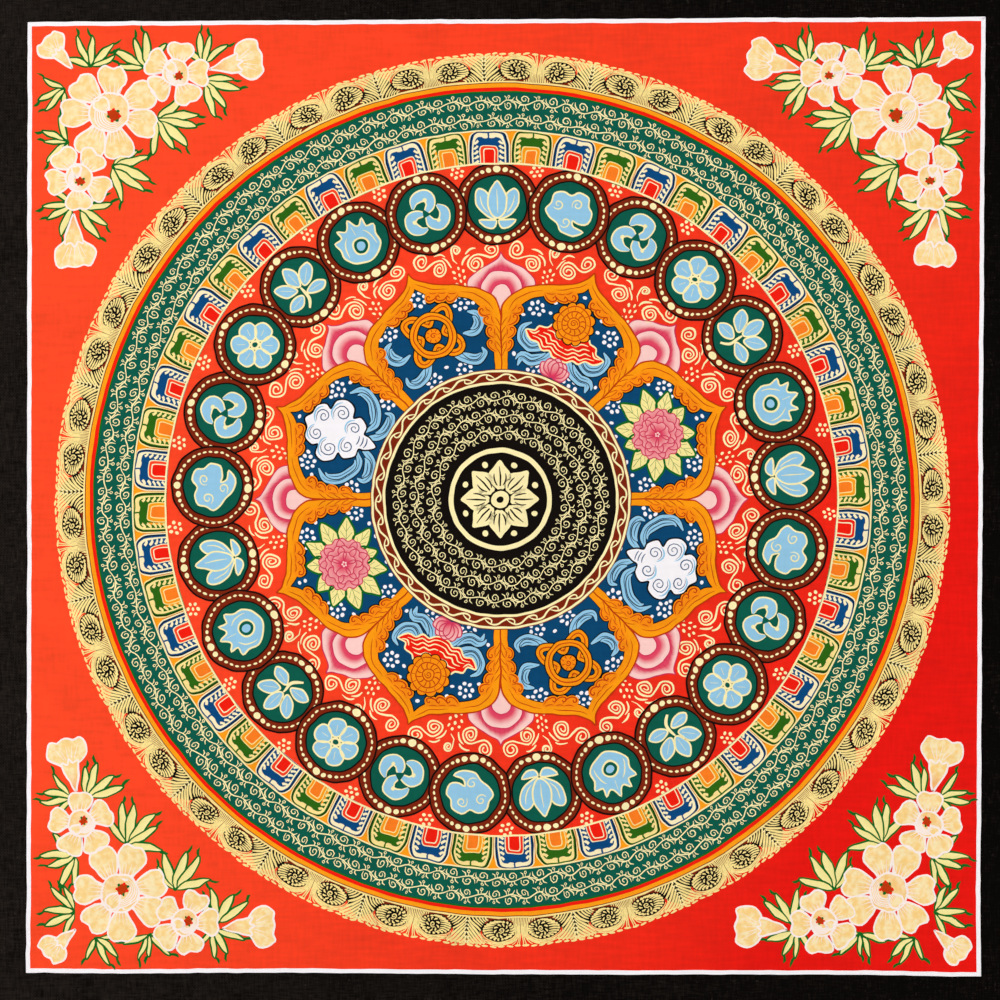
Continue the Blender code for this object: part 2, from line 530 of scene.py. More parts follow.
def makePaint(name, facts):
    # hand-brushed gouache on canvas: patches, streaks along the brush, the weave under it
    material, board, shader = newMaterial(name, 0.08, facts.get("metal", 0.0))
    patches, rough = facts["patches"], facts.get("rough", brush["rough"])
    x, z, weaving = threads(board)
    patch = board.noise(brush["patch"], 5.0, roughness=0.62)
    streak = board.noise(1.0, 3.0, brush["streak"])
    wisp = board.noise(1.0, 2.0, brush["wisp"])
    tone = (patch - 0.5) * (brush["patchTone"] * patches)
    tone = tone + (streak - 0.5) * (brush["streakTone"] * patches)
    tone = tone + (wisp - 0.5) * (brush["wispTone"] * patches)
    tone = tone + (weaving - weave["level"]) * (brush["weaveTone"] * patches) + 1.0
    base = board.mix(0.0, facts["colour"], facts["colour"])  # the plain colour as a wire
    if "far" in facts:
        # painted shade, standing in for light from the left: nothing at the painted square's left side, most
        # at its right
        width = (panel["right"] - panel["left"]) * mm
        across = (x / width + 0.5).between(0.0, 1.0) ** paintedSideShade["power"]
        paintedShade = across * (paintedSideShade["top"] - (z + paintedSideShade["level"]) * paintedSideShade["down"])
        base = board.mix(paintedShade.between(0.0, 1.0), base, facts["far"])
    if "mottle" in facts:
        dab = board.noise(brush["dab"], 3.0)
        base = board.mix((dab * 4.0 - 1.6).between(0.0, 1.0), base, facts["mottle"])
    if "toned" in facts:
        shade = board.node("ShaderNodeAttribute", dict(attribute_name="shade"), None, "Fac")
        base = board.mix(shade, base, facts["toned"])
    varied = board.node("ShaderNodeVectorMath", dict(operation="SCALE"), {0: base, "Scale": tone})
    grain = board.noise(brush["grain"])
    connect(board, shader, varied, patch * 0.16 + (rough - 0.08),
            weaving * 0.8 + grain * 0.4 + streak * 0.5, weave["depth"], 0.5)
    return material


# The two sides of the cloth: scales of threads, clouds and stains along each axis, colours and relief;
# side is how much painted light lightens the front's black towards the left
blackCotton = dict(cross=(160, 160, 1300), upright=(1300, 160, 160), cloud=30.0, lint=620.0,
                   dark=(6, 4, 3), wornAndLit=(48, 41, 36), side=0.75, relief=0.00012)


def makeCanvas():
    # black-painted cotton: threads, slubs and grey lint, with painted light that makes it lighter at the left
    material, board, shader = newMaterial("blackCanvas", 0.04)
    x, _, weaving = threads(board)
    cross = board.noise(1.0, 2.0, blackCotton["cross"])
    upright = board.noise(1.0, 2.0, blackCotton["upright"])
    cloudy = board.noise(blackCotton["cloud"], 4.0)
    lint = ((board.noise(blackCotton["lint"], 1.0) - 0.70) * 12.0).between(0.0, 1.0)
    wear = (cross + upright) * 1.1 + cloudy * 0.5 + weaving * 0.5 - 1.25 + lint * 0.8
    # painted light: the x term mixes the black towards its lighter colour at the left, where the lamp falls
    shade = wear * 0.8 - x * blackCotton["side"] - 0.14
    colour = board.mix(shade.between(0.0, 1.0), blackCotton["dark"], blackCotton["wornAndLit"])
    relief = weaving + cross * 0.8 + upright * 0.8
    connect(board, shader, colour, cloudy * 0.2 + 0.75, relief, blackCotton["relief"], 0.9)
    return material


rawCotton = dict(slub=(90, 90, 900), stain=9.0, dark=(178, 162, 134), pale=(226, 214, 190),
                 relief=0.00015)


def makeRawBack():
    # the unpainted back: sized cotton, a little yellowed and stained
    material, board, shader = newMaterial("rawCottonBack", 0.05)
    _, _, weaving = threads(board)
    slub = board.noise(1.0, 3.0, rawCotton["slub"])
    stain = board.noise(rawCotton["stain"], 6.0)
    shade = weaving * 0.25 + slub * 0.5 + stain * 0.7 - 0.35
    colour = board.mix(shade.between(0.0, 1.0), rawCotton["dark"], rawCotton["pale"])
    connect(board, shader, colour, slub * 0.2 + 0.75, weaving + slub, rawCotton["relief"], 0.8)
    return material


materials = {name: makePaint(name, facts) for name, facts in paints.items()}
print("stage 2: paints mixed")


def hang(x, z):
    # how far back the cloth's middle surface lies
    fall = -z / cloth["height"]
    total = 0.0
    for across, slant, reach, top, foot in cloth["swells"]:
        total = total + blend(top, foot, fall) * np.exp(-(((x - across + slant * z) / reach) ** 2))
    fromSide = cloth["halfWidth"] - np.abs(x)
    ripple = cloth["rippleDepth"] * np.exp(-((fromSide / cloth["rippleReach"]) ** 2))
    ripple = ripple * np.sin(fullTurn * z / cloth["rippleLength"]
                             + np.copysign(cloth["rippleStart"], x))
    corner = np.hypot(np.maximum(fromSide, 0), np.maximum(cloth["height"] + z, 0))
    curl = np.maximum(0, 1 - corner / cloth["curlReach"])
    return total + ripple - cloth["curlDepth"] * curl ** 2


def makeCloth():
    cells = cloth["cells"]
    across, down = np.meshgrid(np.linspace(0, 1, cells + 1), np.linspace(0, 1, cells + 1))
    across, down = across.ravel(), down.ravel()
    x, z = (2 * across - 1) * cloth["halfWidth"], -down * cloth["height"]
    for side, end, strayX, strayZ in cloth["corners"]:
        share = (across if side > 0 else 1 - across) * (1 - down if end > 0 else down)
        x, z = x + strayX * share, z + strayZ * share
    row = cells + 1
    faces = [(r * row + c, (r + 1) * row + c, (r + 1) * row + c + 1, r * row + c + 1)
             for r in range(cells) for c in range(cells)]
    mesh = bpy.data.meshes.new("hangingCloth")
    mesh.from_pydata(np.column_stack((x, hang(x, z), z)).tolist(), [], faces)
    mesh.shade_smooth()
    piece = bpy.data.objects.new("hangingCloth", mesh)
    bpy.context.scene.collection.objects.link(piece)
    thicken = piece.modifiers.new("sheet thickness", "SOLIDIFY")
    thicken.thickness, thicken.offset = cloth["thickness"], 0.0
    depsgraph = bpy.context.evaluated_depsgraph_get()
    piece.data = bpy.data.meshes.new_from_object(piece.evaluated_get(depsgraph))
    piece.modifiers.clear()
    piece.data.materials.clear()
    piece.data.materials.append(makeCanvas())
    piece.data.materials.append(makeRawBack())
    for face in piece.data.polygons:
        face.material_index = 1 if face.normal.y > 0.5 else 0
    mapFlat(piece.data, 2)
    return piece


def mapFlat(mesh, strips=1):
    # the piece's own map, straight on; with two strips, what faces back goes into the second
    corner = np.empty(len(mesh.loops), np.int32)
    mesh.loops.foreach_get("vertex_index", corner)
    spots = np.empty(len(mesh.vertices) * 3, np.float32)
    mesh.vertices.foreach_get("co", spots)
    flat = spots.reshape(-1, 3)[corner][:, (0, 2)]
    low, high = flat.min(0), flat.max(0)
    flat = (flat - low) / (high - low)
    if strips == 2:
        sizes = [face.loop_total for face in mesh.polygons]
        back = np.repeat([face.normal.y > 0 for face in mesh.polygons], sizes)
        flat[:, 0] = (flat[:, 0] + back) / 2
    mesh.uv_layers.new(name="OFBake").data.foreach_set("uv", flat.astype(np.float32).ravel())


clothPiece = makeCloth()
wrapTree, spotTree = makeWrapTree(), makeSpotTree()
laid = {}
print("stage 3: cloth hung")


def lay(name, art, tree, wobble, **values):
    # every paint of some brushwork goes on the cloth; the same name later adds to the same piece
    for paint, mesh in art.meshes():
        given = {"Cloth": clothPiece, "Paint": materials[paint], "Wobble": wobble, **values}
        laid.setdefault((name, paint), []).append(runTree(mesh, tree, given))


def layRing(name, art, radius, copies, turn=0.0, wobble=0.0016):
    # radius in millimetres, turn in degrees
    lay(name, art, wrapTree, wobble, Copies=copies, Radius=radius * mm, Turn=math.radians(turn))


def laySpots(name, art, spots, wobble=0.0014):
    # each spot: x, z in metres, turn in radians, size, and 1 or -1 for a mirrored copy
    spots = np.array(spots, float)
    mesh = bpy.data.meshes.new("spots")
    mesh.from_pydata([(x, 0.0, z) for x, z in spots[:, :2]], [], [])
    for column, label in ((2, "turn"), (3, "size"), (4, "flip")):
        mesh.attributes.new(label, "FLOAT", "POINT").data.foreach_set("value", spots[:, column])
    holder = bpy.data.objects.new("spots", mesh)
    bpy.context.scene.collection.objects.link(holder)
    lay(name, art, spotTree, wobble, Spots=holder)
    bpy.data.objects.remove(holder)


def ringSpots(radius, count, turn=0.0, size=1.0):
    # spots round a ring, in millimetres and degrees
    far = radius * mm
    angles = math.radians(turn) + fullTurn * np.arange(count) / count
    return [(far * (math.sin(angle) + middle["driftX"]) + middle["x"],
             far * (math.cos(angle) + middle["driftZ"]) + middle["z"], angle, size, 1)
            for angle in angles]


def band(name, paint, outer, inner, coat, copies=90, rows=None):
    # a plain painted ring; unless rows are given, one for about every 5 mm
    radius = (outer + inner) / 2
    half = math.pi * radius / copies
    edge = np.array(((-half, 0.0), (0.0, 0.0), (half, 0.0)))
    art = Art()
    art.loft(paint, edge + (0, inner - radius), edge + (0, outer - radius),
             rows or max(1, round((outer - inner) / 5)), coat)
    layRing(name, art, radius, copies, wobble=0.0009)


def paintGround():
    # the red square and the white line round it
    sides = [(panel["left"], panel["top"]), (panel["right"], panel["top"]),
             (panel["right"], panel["foot"]), (panel["left"], panel["foot"])]
    corners = [np.array(side) + stray for side, stray in zip(sides, panel["strays"])]
    share = np.linspace(0, 1, panel["cells"] + 1)[:, None]
    art = Art()
    inset = panel["line"] / 2
    high, low = (blend(corners[a], corners[b], share) for a, b in ((0, 1), (3, 2)))
    high, low = high - (0, inset), low + (0, inset)
    for edge in (high, low):
        edge[0, 0] += inset
        edge[-1, 0] -= inset
    art.loft("red", low, high, panel["cells"], 1)
    for i in range(4):
        first, last = corners[i], corners[(i + 1) % 4]
        way = (last - first) / np.hypot(*(last - first))
        inward = np.array((way[1], -way[0])) * panel["line"] / 2
        art.stroke("white", blend(first, last, share) + inward, panel["line"], (1, 1), 2)
    laySpots("panel", art, [(0, 0, 0, 1, 1)], 0.0007)


paintGround()
print("stage 4: red ground painted")

# The gold ring, in millimetres from its own radius; x and y are the middle of half a repeat's oval
goldRing = dict(radius=226.4, repeats=25, turn=4.7, foot=-7.9, top=6.9, x=11.6, y=-1.2, wide=8.7, high=5.3,
                heart=10.4, petals=22, club=0.66, lean=136, longest=14.0, dabs=7)
# Thin bands from the gold ring in to the dark green: outer radius, inner radius and coat
stripes = (("ringLines", "gold", 219.1, 218.3, 7), ("ringStripes", "maroon", 218.4, 217.9, 6),
           ("ringStripes", "amber", 218.1, 215.8, 5), ("ringStripes", "brightRed", 215.9, 214.0, 4),
           ("ringStripes", "stem", 214.1, 213.1, 3))


def goldHalf():
    # half a repeat: a fountain of strokes, an oval of clubbed petals round a coiled heart, and
    # feathers that run up from the seam
    facts, art = goldRing, Art()
    x, y, foot, top, heart = (facts[key] for key in ("x", "y", "foot", "top", "heart"))
    seam = math.pi * facts["radius"] / facts["repeats"]

    def oval(grow, first, last, steps=15):
        return arc(0, 0, 1, first, last, steps) * (facts["wide"] + grow, facts["high"] + grow) + (x, y)

    def reach(root, turn, grow):
        # how far a straight stroke from the root runs before the oval or the rim
        way = rim(0, 0, 1, turn)
        for step in np.arange(0.5, facts["longest"], 0.25):
            spot = root + way * step
            inside = np.hypot(*((spot - (x, y)) / (facts["wide"] + grow, facts["high"] + grow))) < 1
            if inside or spot[1] > top - 0.7 or spot[0] < 0.3:
                break
        return spot

    art.stroke("gold", spiral(heart, y, 1.7, 0.3, 40, 1.4, 11), 0.6, (0.8, 0.6))
    for k in range(9):
        angle = 40 * k
        art.stroke("gold", bow(rim(heart, y, 2.2, angle), rim(heart, y, 3.6, angle + 24), -0.25, 3), 0.85,
                   (0.35, 0.9))
    for k in range(facts["petals"]):
        angle = 360 * k / facts["petals"]
        inner, outer = rim(heart, y, 4.2, angle), oval(-0.8, angle + 8, angle + 8, 1)[0]
        art.stroke("gold", bow(inner, outer, -0.3, 3), 0.84, (0.45, 0.9))
        art.oval("gold", *outer, facts["club"], facts["club"], angle, 5)
    art.stroke("gold", oval(0.55, 180, 20), 0.6, (0.4, 0.4))
    for grow, first, last, wide in ((1.45, 205, 8, 0.8), (2.35, 196, 30, 0.7)):
        art.stroke("gold", oval(grow, first, last), wide, (0.5, 0.25))
    # the fountain rises from the foot and sweeps out along the rim
    for k, (far, high) in enumerate(((0.8, 7.2), (2.6, 7.0), (5.2, 6.3), (9.0, 5.9), (14.0, 5.6))):
        path = [(0.45 + 0.95 * k, foot + 0.2), (0.42 + 0.72 * k, foot + 5.2), (0.5 + 0.7 * k, foot + 9.4),
                (0.6 + 0.5 * far, high - 1.4), (far, high)]
        art.stroke("gold", smoothLine(path, 2), 0.6, (0.9, 0.6))
    for k in range(3):
        root = np.array((5.2 + 1.1 * k, foot + 0.2))
        art.stroke("gold", bow(root, reach(root, 104, 0.6), 0.2, 3), 0.62, (0.6, 0.7))
    # feathers, narrow at the seam where black shows between them
    for k in range(7):
        root = np.array((seam - 0.1, foot + 0.3 + 2.05 * k))
        art.stroke("gold", bow(root, reach(root, facts["lean"], 0.9 if k < 3 else 2.7), -0.6, 5), 1.16,
                   (0.42, 0.7))
        art.oval("cream", root[0] - 0.6, root[1] + 0.55, 0.6, 0.42, -46, 7, 6)
    for k in range(5):
        root = np.array((seam - 2.1 - 1.85 * k, foot + 0.1))
        art.stroke("gold", bow(root, reach(root, facts["lean"], 0.9), -0.5, 4), 0.82, (0.6, 0.5))
    for k in range(4):
        first = (seam - 1.2 - 3.2 * k, top - 0.5 - 0.2 * k)
        art.stroke("gold", bow(first, (first[0] - 7.5, first[1] - 0.9), 0.5, 4), 0.6, (0.3, 0.3))
    art.loft("gold", [(4.5, foot + 0.7), (12, foot + 0.9), (19, foot + 0.7)],
             [(4.5, foot), (12, foot), (19, foot)], 1)
    for k in range(facts["dabs"]):
        art.oval("gold", (k + 0.5) * seam / facts["dabs"], top + 0.15 + 0.12 * (k % 2), 1.72, 0.55, 7, 8, 6)
    # black under the petals and feathers and brown beside them; above them red shows through
    art.fill("black", oval(0.2, 0, 360, 37)[:-1], 2, cell=6.0)
    art.fill("black", [(seam, foot), (seam - 11, foot), (seam - 9.0, foot + 5), (seam - 6.8, foot + 8.8),
                       (seam - 2.4, foot + 12.0), (seam, foot + 12.6)], 1.5, cell=6.0)
    low = [(0, foot), (6, foot), (12, foot), (19, foot), (22, foot)]
    art.loft("maroon", low, [(0, foot + 8.4), (3.4, foot + 9.0), (9, foot + 1.6), (19, foot + 3.0),
                             (22, foot + 9.0)], 3, 1)
    return art


def goldRepeat():
    art = Art()
    for flip in (1, -1):
        art.copy(goldHalf(), flip=flip)
    return art


layRing("goldRing", goldRepeat(), goldRing["radius"], goldRing["repeats"], goldRing["turn"])
for stripe in stripes:
    band(*stripe)
print("stage 5: gold ring painted")

# The dark green band and its two rows of vine
greenBand = dict(outer=213.7, inner=193.0, size=1.14, stroke=0.55,
                 rows=(dict(radius=208.0, repeats=86, turn=0.0), dict(radius=198.6, repeats=82, turn=1.9)))


def vine(pitch, size, width, coat=4):
    # a wavy stem with a curl in every hollow, and buds, berries and leaves on every crest
    art = Art()
    across = np.linspace(-pitch / 2, pitch / 2, 10)
    art.stroke("cream", np.column_stack((across, 1.1 * size * np.sin(fullTurn * across / pitch))),
               width * 1.05, (1, 1), coat)
    for way in (1, -1):
        def put(points):
            return np.array(points, float) * (way * size, way * size) + (way * pitch / 4, 0)
        for path, thick, ends in (
                (spiral(-0.1, -1.4, 2.15, 0.45, 148, 1.3, 11), 1.0, (0.9, 0.6)),
                (bow((1.2, 0.3), (3.2, -2.9), 0.9, 4), 1.15, (0.6, 0.3)),
                (bow((-1.0, 1.0), (-2.5, 3.1), -0.6, 3), 1.15, (0.5, 0.5)),
                (bow((0.4, 1.2), (2.6, 2.6), -0.8, 3), 1.1, (0.5, 0.4)),
                (bow((0.0, 1.1), (0.1, 2.3), 0.2, 2), 0.9, (0.6, 0.6)),
                (arc(0.1, 3.0, 0.55, 0, 360, 7), 0.75, (1, 1))):
            art.stroke("cream", put(path), thick * width, ends, coat)
    return art


band("greenBand", "green", greenBand["outer"], greenBand["inner"], 2)
for row in greenBand["rows"]:
    pitch = fullTurn * row["radius"] / row["repeats"]
    layRing("vine%d" % row["radius"], vine(pitch, greenBand["size"], greenBand["stroke"]), row["radius"],
            row["repeats"], row["turn"], 0.0024)
print("stage 6: green band painted")

# The ring of arched petals, blue and green in turn, between two cream edges
petalRing = dict(radius=184.4, repeats=26, turn=1.4, foot=-8.8, half=11.0, outer=193.3, inner=175.4,
                 edges=((193.6, 192.9), (176.4, 175.5)))


def archSide(wide, high):
    # right side of a round-shouldered arch, from its top down; a narrow one has smaller shoulders
    bend = wide / petalRing["half"]
    return smoothLine([(0, high), (wide * 0.5, high - 0.05), (wide * 0.72, high - 0.4 * bend),
                       (wide * 0.85, high - 1.5 * bend), (wide * 0.93, high - 3.6 * bend),
                       (wide, high - 7.4 * bend), (wide, petalRing["foot"])], 2)


def bandPetal(line, field, square, heart):
    # pale rim, dark band, pale curtain split at the top with commas down its sides, coloured field
    # and a heart of nested squares
    art, shoulder = Art(), archSide(10.3, 8.35)[2:] * (0.96, 1) - (0, 0.25)
    for wide, high, paint, coat in ((petalRing["half"], 8.65, line, 4), (10.3, 8.35, field, 5),
                                    (8.9, 7.7, line, 6), (8.1, 5.8, field, 7), (5.1, 1.2, line, 9),
                                    (4.6, 0.7, square, 10), (3.3, -0.5, line, 11),
                                    (2.75, -1.05, heart, 12)):
        right = archSide(wide, high)
        art.fill(paint, np.vstack((right, flipped(right[::-1])[:-1])), coat, cell=9.0)
    art.stroke(field, [(0, 8.0), (0.15, 6.4), (0, 4.9)], 0.8, (0.9, 0.6), 8)
    for side in (-1, 1):
        art.stroke("black", moved(shoulder, flip=side), 0.5, (0.5, 1), 5.5)
        art.oval(line, side * 1.9, 5.75, 1.6, 0.5, 0, 10, 8)
        for y in (3.5, 0.8, -1.9, -4.6, -7.3):
            comma = bow((8.3, y - 1.1), (5.7, y + 0.5), 0.4, 4)
            art.stroke(line, moved(comma, flip=side), 1.3, (0.3, 1), 8)
    if field == "leafGreen":
        art.loft("amber", [(-5.3, 0.4), (-5.3, -8.7)], [(-6.3, 0.4), (-6.8, -8.7)], 1, 7.5)
    return art


def petalRepeat():
    art = Art()
    pitch = fullTurn * petalRing["radius"] / petalRing["repeats"]
    art.copy(bandPetal("ivory", "petalBlue", "red", "brightRed"), x=-pitch / 4)
    art.copy(bandPetal("gold", "leafGreen", "amber", "flame"), x=pitch / 4)
    for x in (-pitch / 2, 0.0):
        art.stroke("brown", [(x, 4.0), (x, petalRing["foot"])], 0.34, (0.4, 1), coat=6)
    return art


band("petalGround", "amber", petalRing["outer"], petalRing["inner"], 2)
layRing("petalRing", petalRepeat(), petalRing["radius"], petalRing["repeats"], petalRing["turn"])
for outer, inner in petalRing["edges"]:
    band("ringLines", "cream", outer, inner, 13)
print("stage 7: petal ring painted")

# Medallions, whose ring is slightly oval; the dots between them lie on a wider one that sways less
medallions = dict(radius=153.1, count=25, turn=-1.0, outer=21.7, rim=21.3, edge=15.9, disc=15.4, beads=18.5,
                  order=(0, 1, 2, 3, 4, 5) * 4 + (2,), sway=dict(far=1.7, turn=0.8, at=140),
                  motifEdge=0.9, dots=dict(radius=172.0, sway=0.3, ring=2.85, size=0.95))
# Half lengths and half widths of the beads down one side, from the inner end to the outer
beads = dict(lengths=[2.3, 1.6, 1.2, 1.05] + [1.12] * 10 + [1.05, 1.15, 1.5, 2.0],
             widths=[2.0, 1.4, 1.05, 0.8] + [0.6] * 10 + [0.75, 0.95, 1.3, 1.75])


def medallionFrame():
    # brown rim between black lines, with big beads at its inner and outer ends and dashes between
    art = Art()
    art.disc("maroon", medallions["rim"], 4, 5.3)
    art.disc("green", medallions["disc"], 6, 5.2)
    art.stroke("black", arc(0, 0, medallions["outer"] - 0.45, 0, 360, 73), 0.9, (1, 1), 5)
    art.stroke("black", arc(0, 0, medallions["edge"] - 0.3, 0, 360, 61), 0.7, (1, 1), 7)
    art.stroke("green", arc(0, 0, medallions["disc"] - 0.6, 0, 360, 37), 0.5, (1, 1), 6.5, 1.0)
    radius, lengths = medallions["beads"], beads["lengths"]
    taken = 2 * sum(lengths) - lengths[0] - lengths[-1]
    gap = (math.pi * radius - taken) / (len(lengths) - 1)
    along = 0.0
    for k, (long, wide) in enumerate(zip(lengths, beads["widths"])):
        angle = math.degrees(along / radius)
        for side in (-1, 1) if 0 < k < len(lengths) - 1 else (1,):
            art.oval("cream", *rim(0, 0, radius, side * angle - 90), long, wide, -side * angle,
                     8 if wide < 1 else 12, 6)
        along += long + gap + lengths[min(k + 1, len(lengths) - 1)]
    return art


def edgedSky(art, outline, coat=7):
    # light blue with a cream edge
    art.shape("sky", outline, "cream", medallions["motifEdge"], coat)


def ribbon(art, path, width, ends):
    # a tapering sweep of light blue with a cream edge
    art.stroke("cream", path, width + 1.7, ends, 7)
    art.stroke("sky", path, width, (ends[0] * 0.7, ends[1] * 0.7), 8)


def budMotif():
    art = Art()
    wing = [(3.6, 2.4), (6.0, 6.6), (9.4, 8.0), (11.4, 5.4), (11.2, 0.6), (8.4, -4.0), (4.0, -7.0),
            (0.8, -7.6), (2.6, -3.5)]
    leaf = [(0.6, -8.6), (4.0, -8.2), (9.6, -8.4), (6.4, -11.6), (2.4, -12.2)]
    for side in (-1, 1):
        for outline in (wing, leaf):
            edgedSky(art, moved(smoothLine(outline, 3, closed=True), flip=side))
        art.stroke("cream", moved(bow((4.8, -4.6), (9.0, 4.6), -1.0), flip=side), 0.55, coat=8)
    front = mirrored([(0, 12.6), (2.6, 8.4), (4.9, 3.4), (4.5, -2.2), (2.4, -6.0), (0, -7.2)])
    edgedSky(art, front, 9)
    art.stroke("cream", [(0, 7.5), (0.2, 1.0), (0, -4.5)], 0.6, coat=10)
    return art


def cloudMotif():
    art = Art()
    outline = smoothLine([(-9.6, -4.8), (-12.0, -1.2), (-10.0, 2.6), (-9.4, 7.2), (-5.0, 9.8), (-0.6, 8.2),
                          (3.4, 11.2), (8.6, 9.0), (9.4, 4.6), (12.2, 1.4), (10.8, -3.8), (6.2, -5.0),
                          (3.0, -4.0), (4.4, -7.4), (9.4, -8.6), (4.6, -11.8), (-1.6, -11.0), (-5.0, -7.2)],
                         3, closed=True)
    edgedSky(art, outline)
    for x, y, turns in ((-6.0, 2.4, 1.3), (3.8, 4.6, -1.4), (-0.4, -5.6, 1.2)):
        art.stroke("cream", spiral(x, y, 3.2, 0.6, 220, turns, 16), 0.7, coat=8)
    return art


def swirlMotif():
    art = Art()
    comma = smoothLine([(1.0, 1.2), (3.6, 4.2), (3.4, 8.2), (-0.4, 9.8), (-4.4, 8.2), (-6.4, 4.4)], 4)
    for k in range(3):
        ribbon(art, moved(comma, turn=120 * k), 4.8, (0.5, 0.2))
        art.oval("cream", *moved([(1.2, 7.2)], turn=120 * k)[0], 1.1, 1.1, coat=9)
    return art


def blossomMotif():
    art = Art()
    petal = mirrored([(0, 12.3), (3.4, 11.2), (4.6, 7.8), (2.6, 4.2), (0, 2.6)])
    for k in range(6):
        edgedSky(art, moved(petal, turn=60 * k + 30))
        art.stroke("cream", moved([(0, 5.2), (0, 9.2)], turn=60 * k + 30), 0.6, coat=8)
    art.oval("cream", 0, 0, 2.5, sides=14, coat=9)
    art.oval("green", 0, 0, 1.4, sides=10, coat=10)
    return art


def leafMotif():
    art = Art()
    leaf = mirrored([(0, 7.6), (2.8, 4.6), (3.3, 0.6), (1.5, -3.2), (0, -4.4)])
    for x, y, turn, size in ((0, 4.8, 0, 1.05), (5.8, 2.2, 48, 1.0), (-5.8, 2.2, -48, 1.0),
                             (5.4, -5.4, 100, 0.9), (-5.4, -5.4, -100, 0.9)):
        edgedSky(art, moved(leaf, x, y, turn, size))
        art.stroke("cream", moved([(0, 4.6), (0, -2.6)], x, y, turn, size), 0.55, coat=8)
    art.stroke("cream", smoothLine([(0, -0.4), (0.4, -6.0), (-1.2, -9.4), (-3.6, -11.6)], 4), 1.6,
               (0.5, 0.7), 8)
    return art


def jewelMotif():
    art = Art()
    flame = mirrored([(0, 12.8), (2.2, 8.8), (4.2, 8.0), (7.2, 10.2), (7.0, 5.6), (11.4, 5.2), (10.0, 0.8),
                      (10.4, -4.2), (7.4, -8.4), (3.4, -10.6), (0, -11.4)])
    edgedSky(art, flame)
    for x, y, radius, paint, coat in ((0, -2.4, 4.8, "cream", 8), (0, -2.4, 3.8, "green", 9),
                                      (0, -2.4, 2.3, "sky", 10)):
        art.oval(paint, x, y, radius, sides=20, coat=coat)
    for side in (-1, 1):
        art.stroke("cream", moved(bow((4.6, 4.4), (8.0, -5.0), 1.3), flip=side), 0.6, coat=8)
    art.stroke("cream", [(0, 9.0), (0.1, 4.0)], 0.7, coat=8)
    return art


def dotCluster(paint, ring, dot, coat=4, around=6):
    # dots in a ring round one more
    art = Art()
    for k in range(around):
        art.oval(paint, *rim(0, 0, ring, 360 * k / around + 12), dot * 1.1, dot * 0.92, 40 * k, 7, coat)
    art.oval(paint, 0, 0, dot, dot * 0.9, 0, 7, coat)
    return art


def swayedSpots(radius, turn, share):
    # a spot for each medallion on a hand-spaced, slightly oval ring
    count, sway = medallions["count"], medallions["sway"]
    for k in range(count):
        angle = turn + 360 * k / count
        lean = math.radians(2 * (angle - sway["at"]))
        far = sway["far"] * math.cos(math.radians(2 * angle)) * share
        yield from ringSpots(radius + far, 1, angle + sway["turn"] * math.cos(lean))


def layMedallions():
    # each overlaps the one before it, so every other one is raised, and the last one more
    count, dots, surround = medallions["count"], medallions["dots"], medallionFrame()
    for k, spot in enumerate(swayedSpots(medallions["radius"], medallions["turn"], 1)):
        level = 7 if k == count - 1 else 3.5 * (k % 2)
        for name, part in (("medallion", surround), ("motif", motifs[medallions["order"][k]])):
            art = Art()
            art.copy(part, lift=level)
            laySpots(name, art, [spot])
    laySpots("dotCluster", dotCluster("cream", dots["ring"], dots["size"]),
             list(swayedSpots(dots["radius"], medallions["turn"] + 180 / count, dots["sway"])))


motifs = [make() for make in (budMotif, cloudMotif, swirlMotif, blossomMotif, leafMotif, jewelMotif)]
layMedallions()
print("stage 8: medallions painted")

# Cream scrolls on the red ground between medallions and lotus
scrolls = dict(radius=130.4, count=16, turn=11.9, stroke=0.96)


def scrollUnit():
    # on each side an S of two curls, with short strokes beside it, a small curl and dots between
    art, width = Art(), scrolls["stroke"]
    for side in (-1, 1):
        tip, root = spiral(18.7, -0.5, 4.5, 0.8, 250, 2.0, 32), spiral(9.7, -6.5, 4.9, 0.8, 70, 2.35, 36)
        link = blend(tip[0], root[0], np.linspace(0, 1, 6)[1:-1, None])
        art.stroke("cream", moved(np.vstack((tip[::-1], link, root)), flip=side), width, (0.7, 0.7), 2)
        for first, last in (((2.9, -6.4), (7.2, -0.9)), ((5.2, -0.6), (11.2, 1.5))):
            art.stroke("cream", moved(bow(first, last, 1.0, 6), flip=side), width, (0.6, 0.3), 2)
    curl = spiral(0.7, 2.0, 2.9, 0.6, 200, -1.8, 24)
    art.stroke("cream", np.vstack(([(0.5, -4.8), (-1.4, -2.2)], curl)), width, (0.4, 0.7), 2)
    for x, y in ((0.3, -7.6), (-2.4, -9.2), (2.6, -9.4), (0, -10.9), (-2.7, -12.4), (2.5, -12.6),
                 (0.1, -14.2), (-1.9, -16.0), (2.1, -16.0)):
        art.oval("cream", x, y, 0.98, 0.7, 80 + 12 * x, 7, 2)
    return art


laySpots("scroll", scrollUnit(), ringSpots(scrolls["radius"], scrolls["count"], scrolls["turn"]), 0.0024)
print("stage 9: scrolls painted")

# The lotus: half is a petal's half width, lobes are the places on its window's edge where curled leaves
# grow. Coats: pink 2 to 5, blue 6, black 7, orange 8 and 9, brown 10, figures from 7
lotus = dict(radius=100.8, petals=8, half=39.4, turn=22.5, lobes=(9, 12, 15, 26, 29, 32, 35), lobe=1.22)


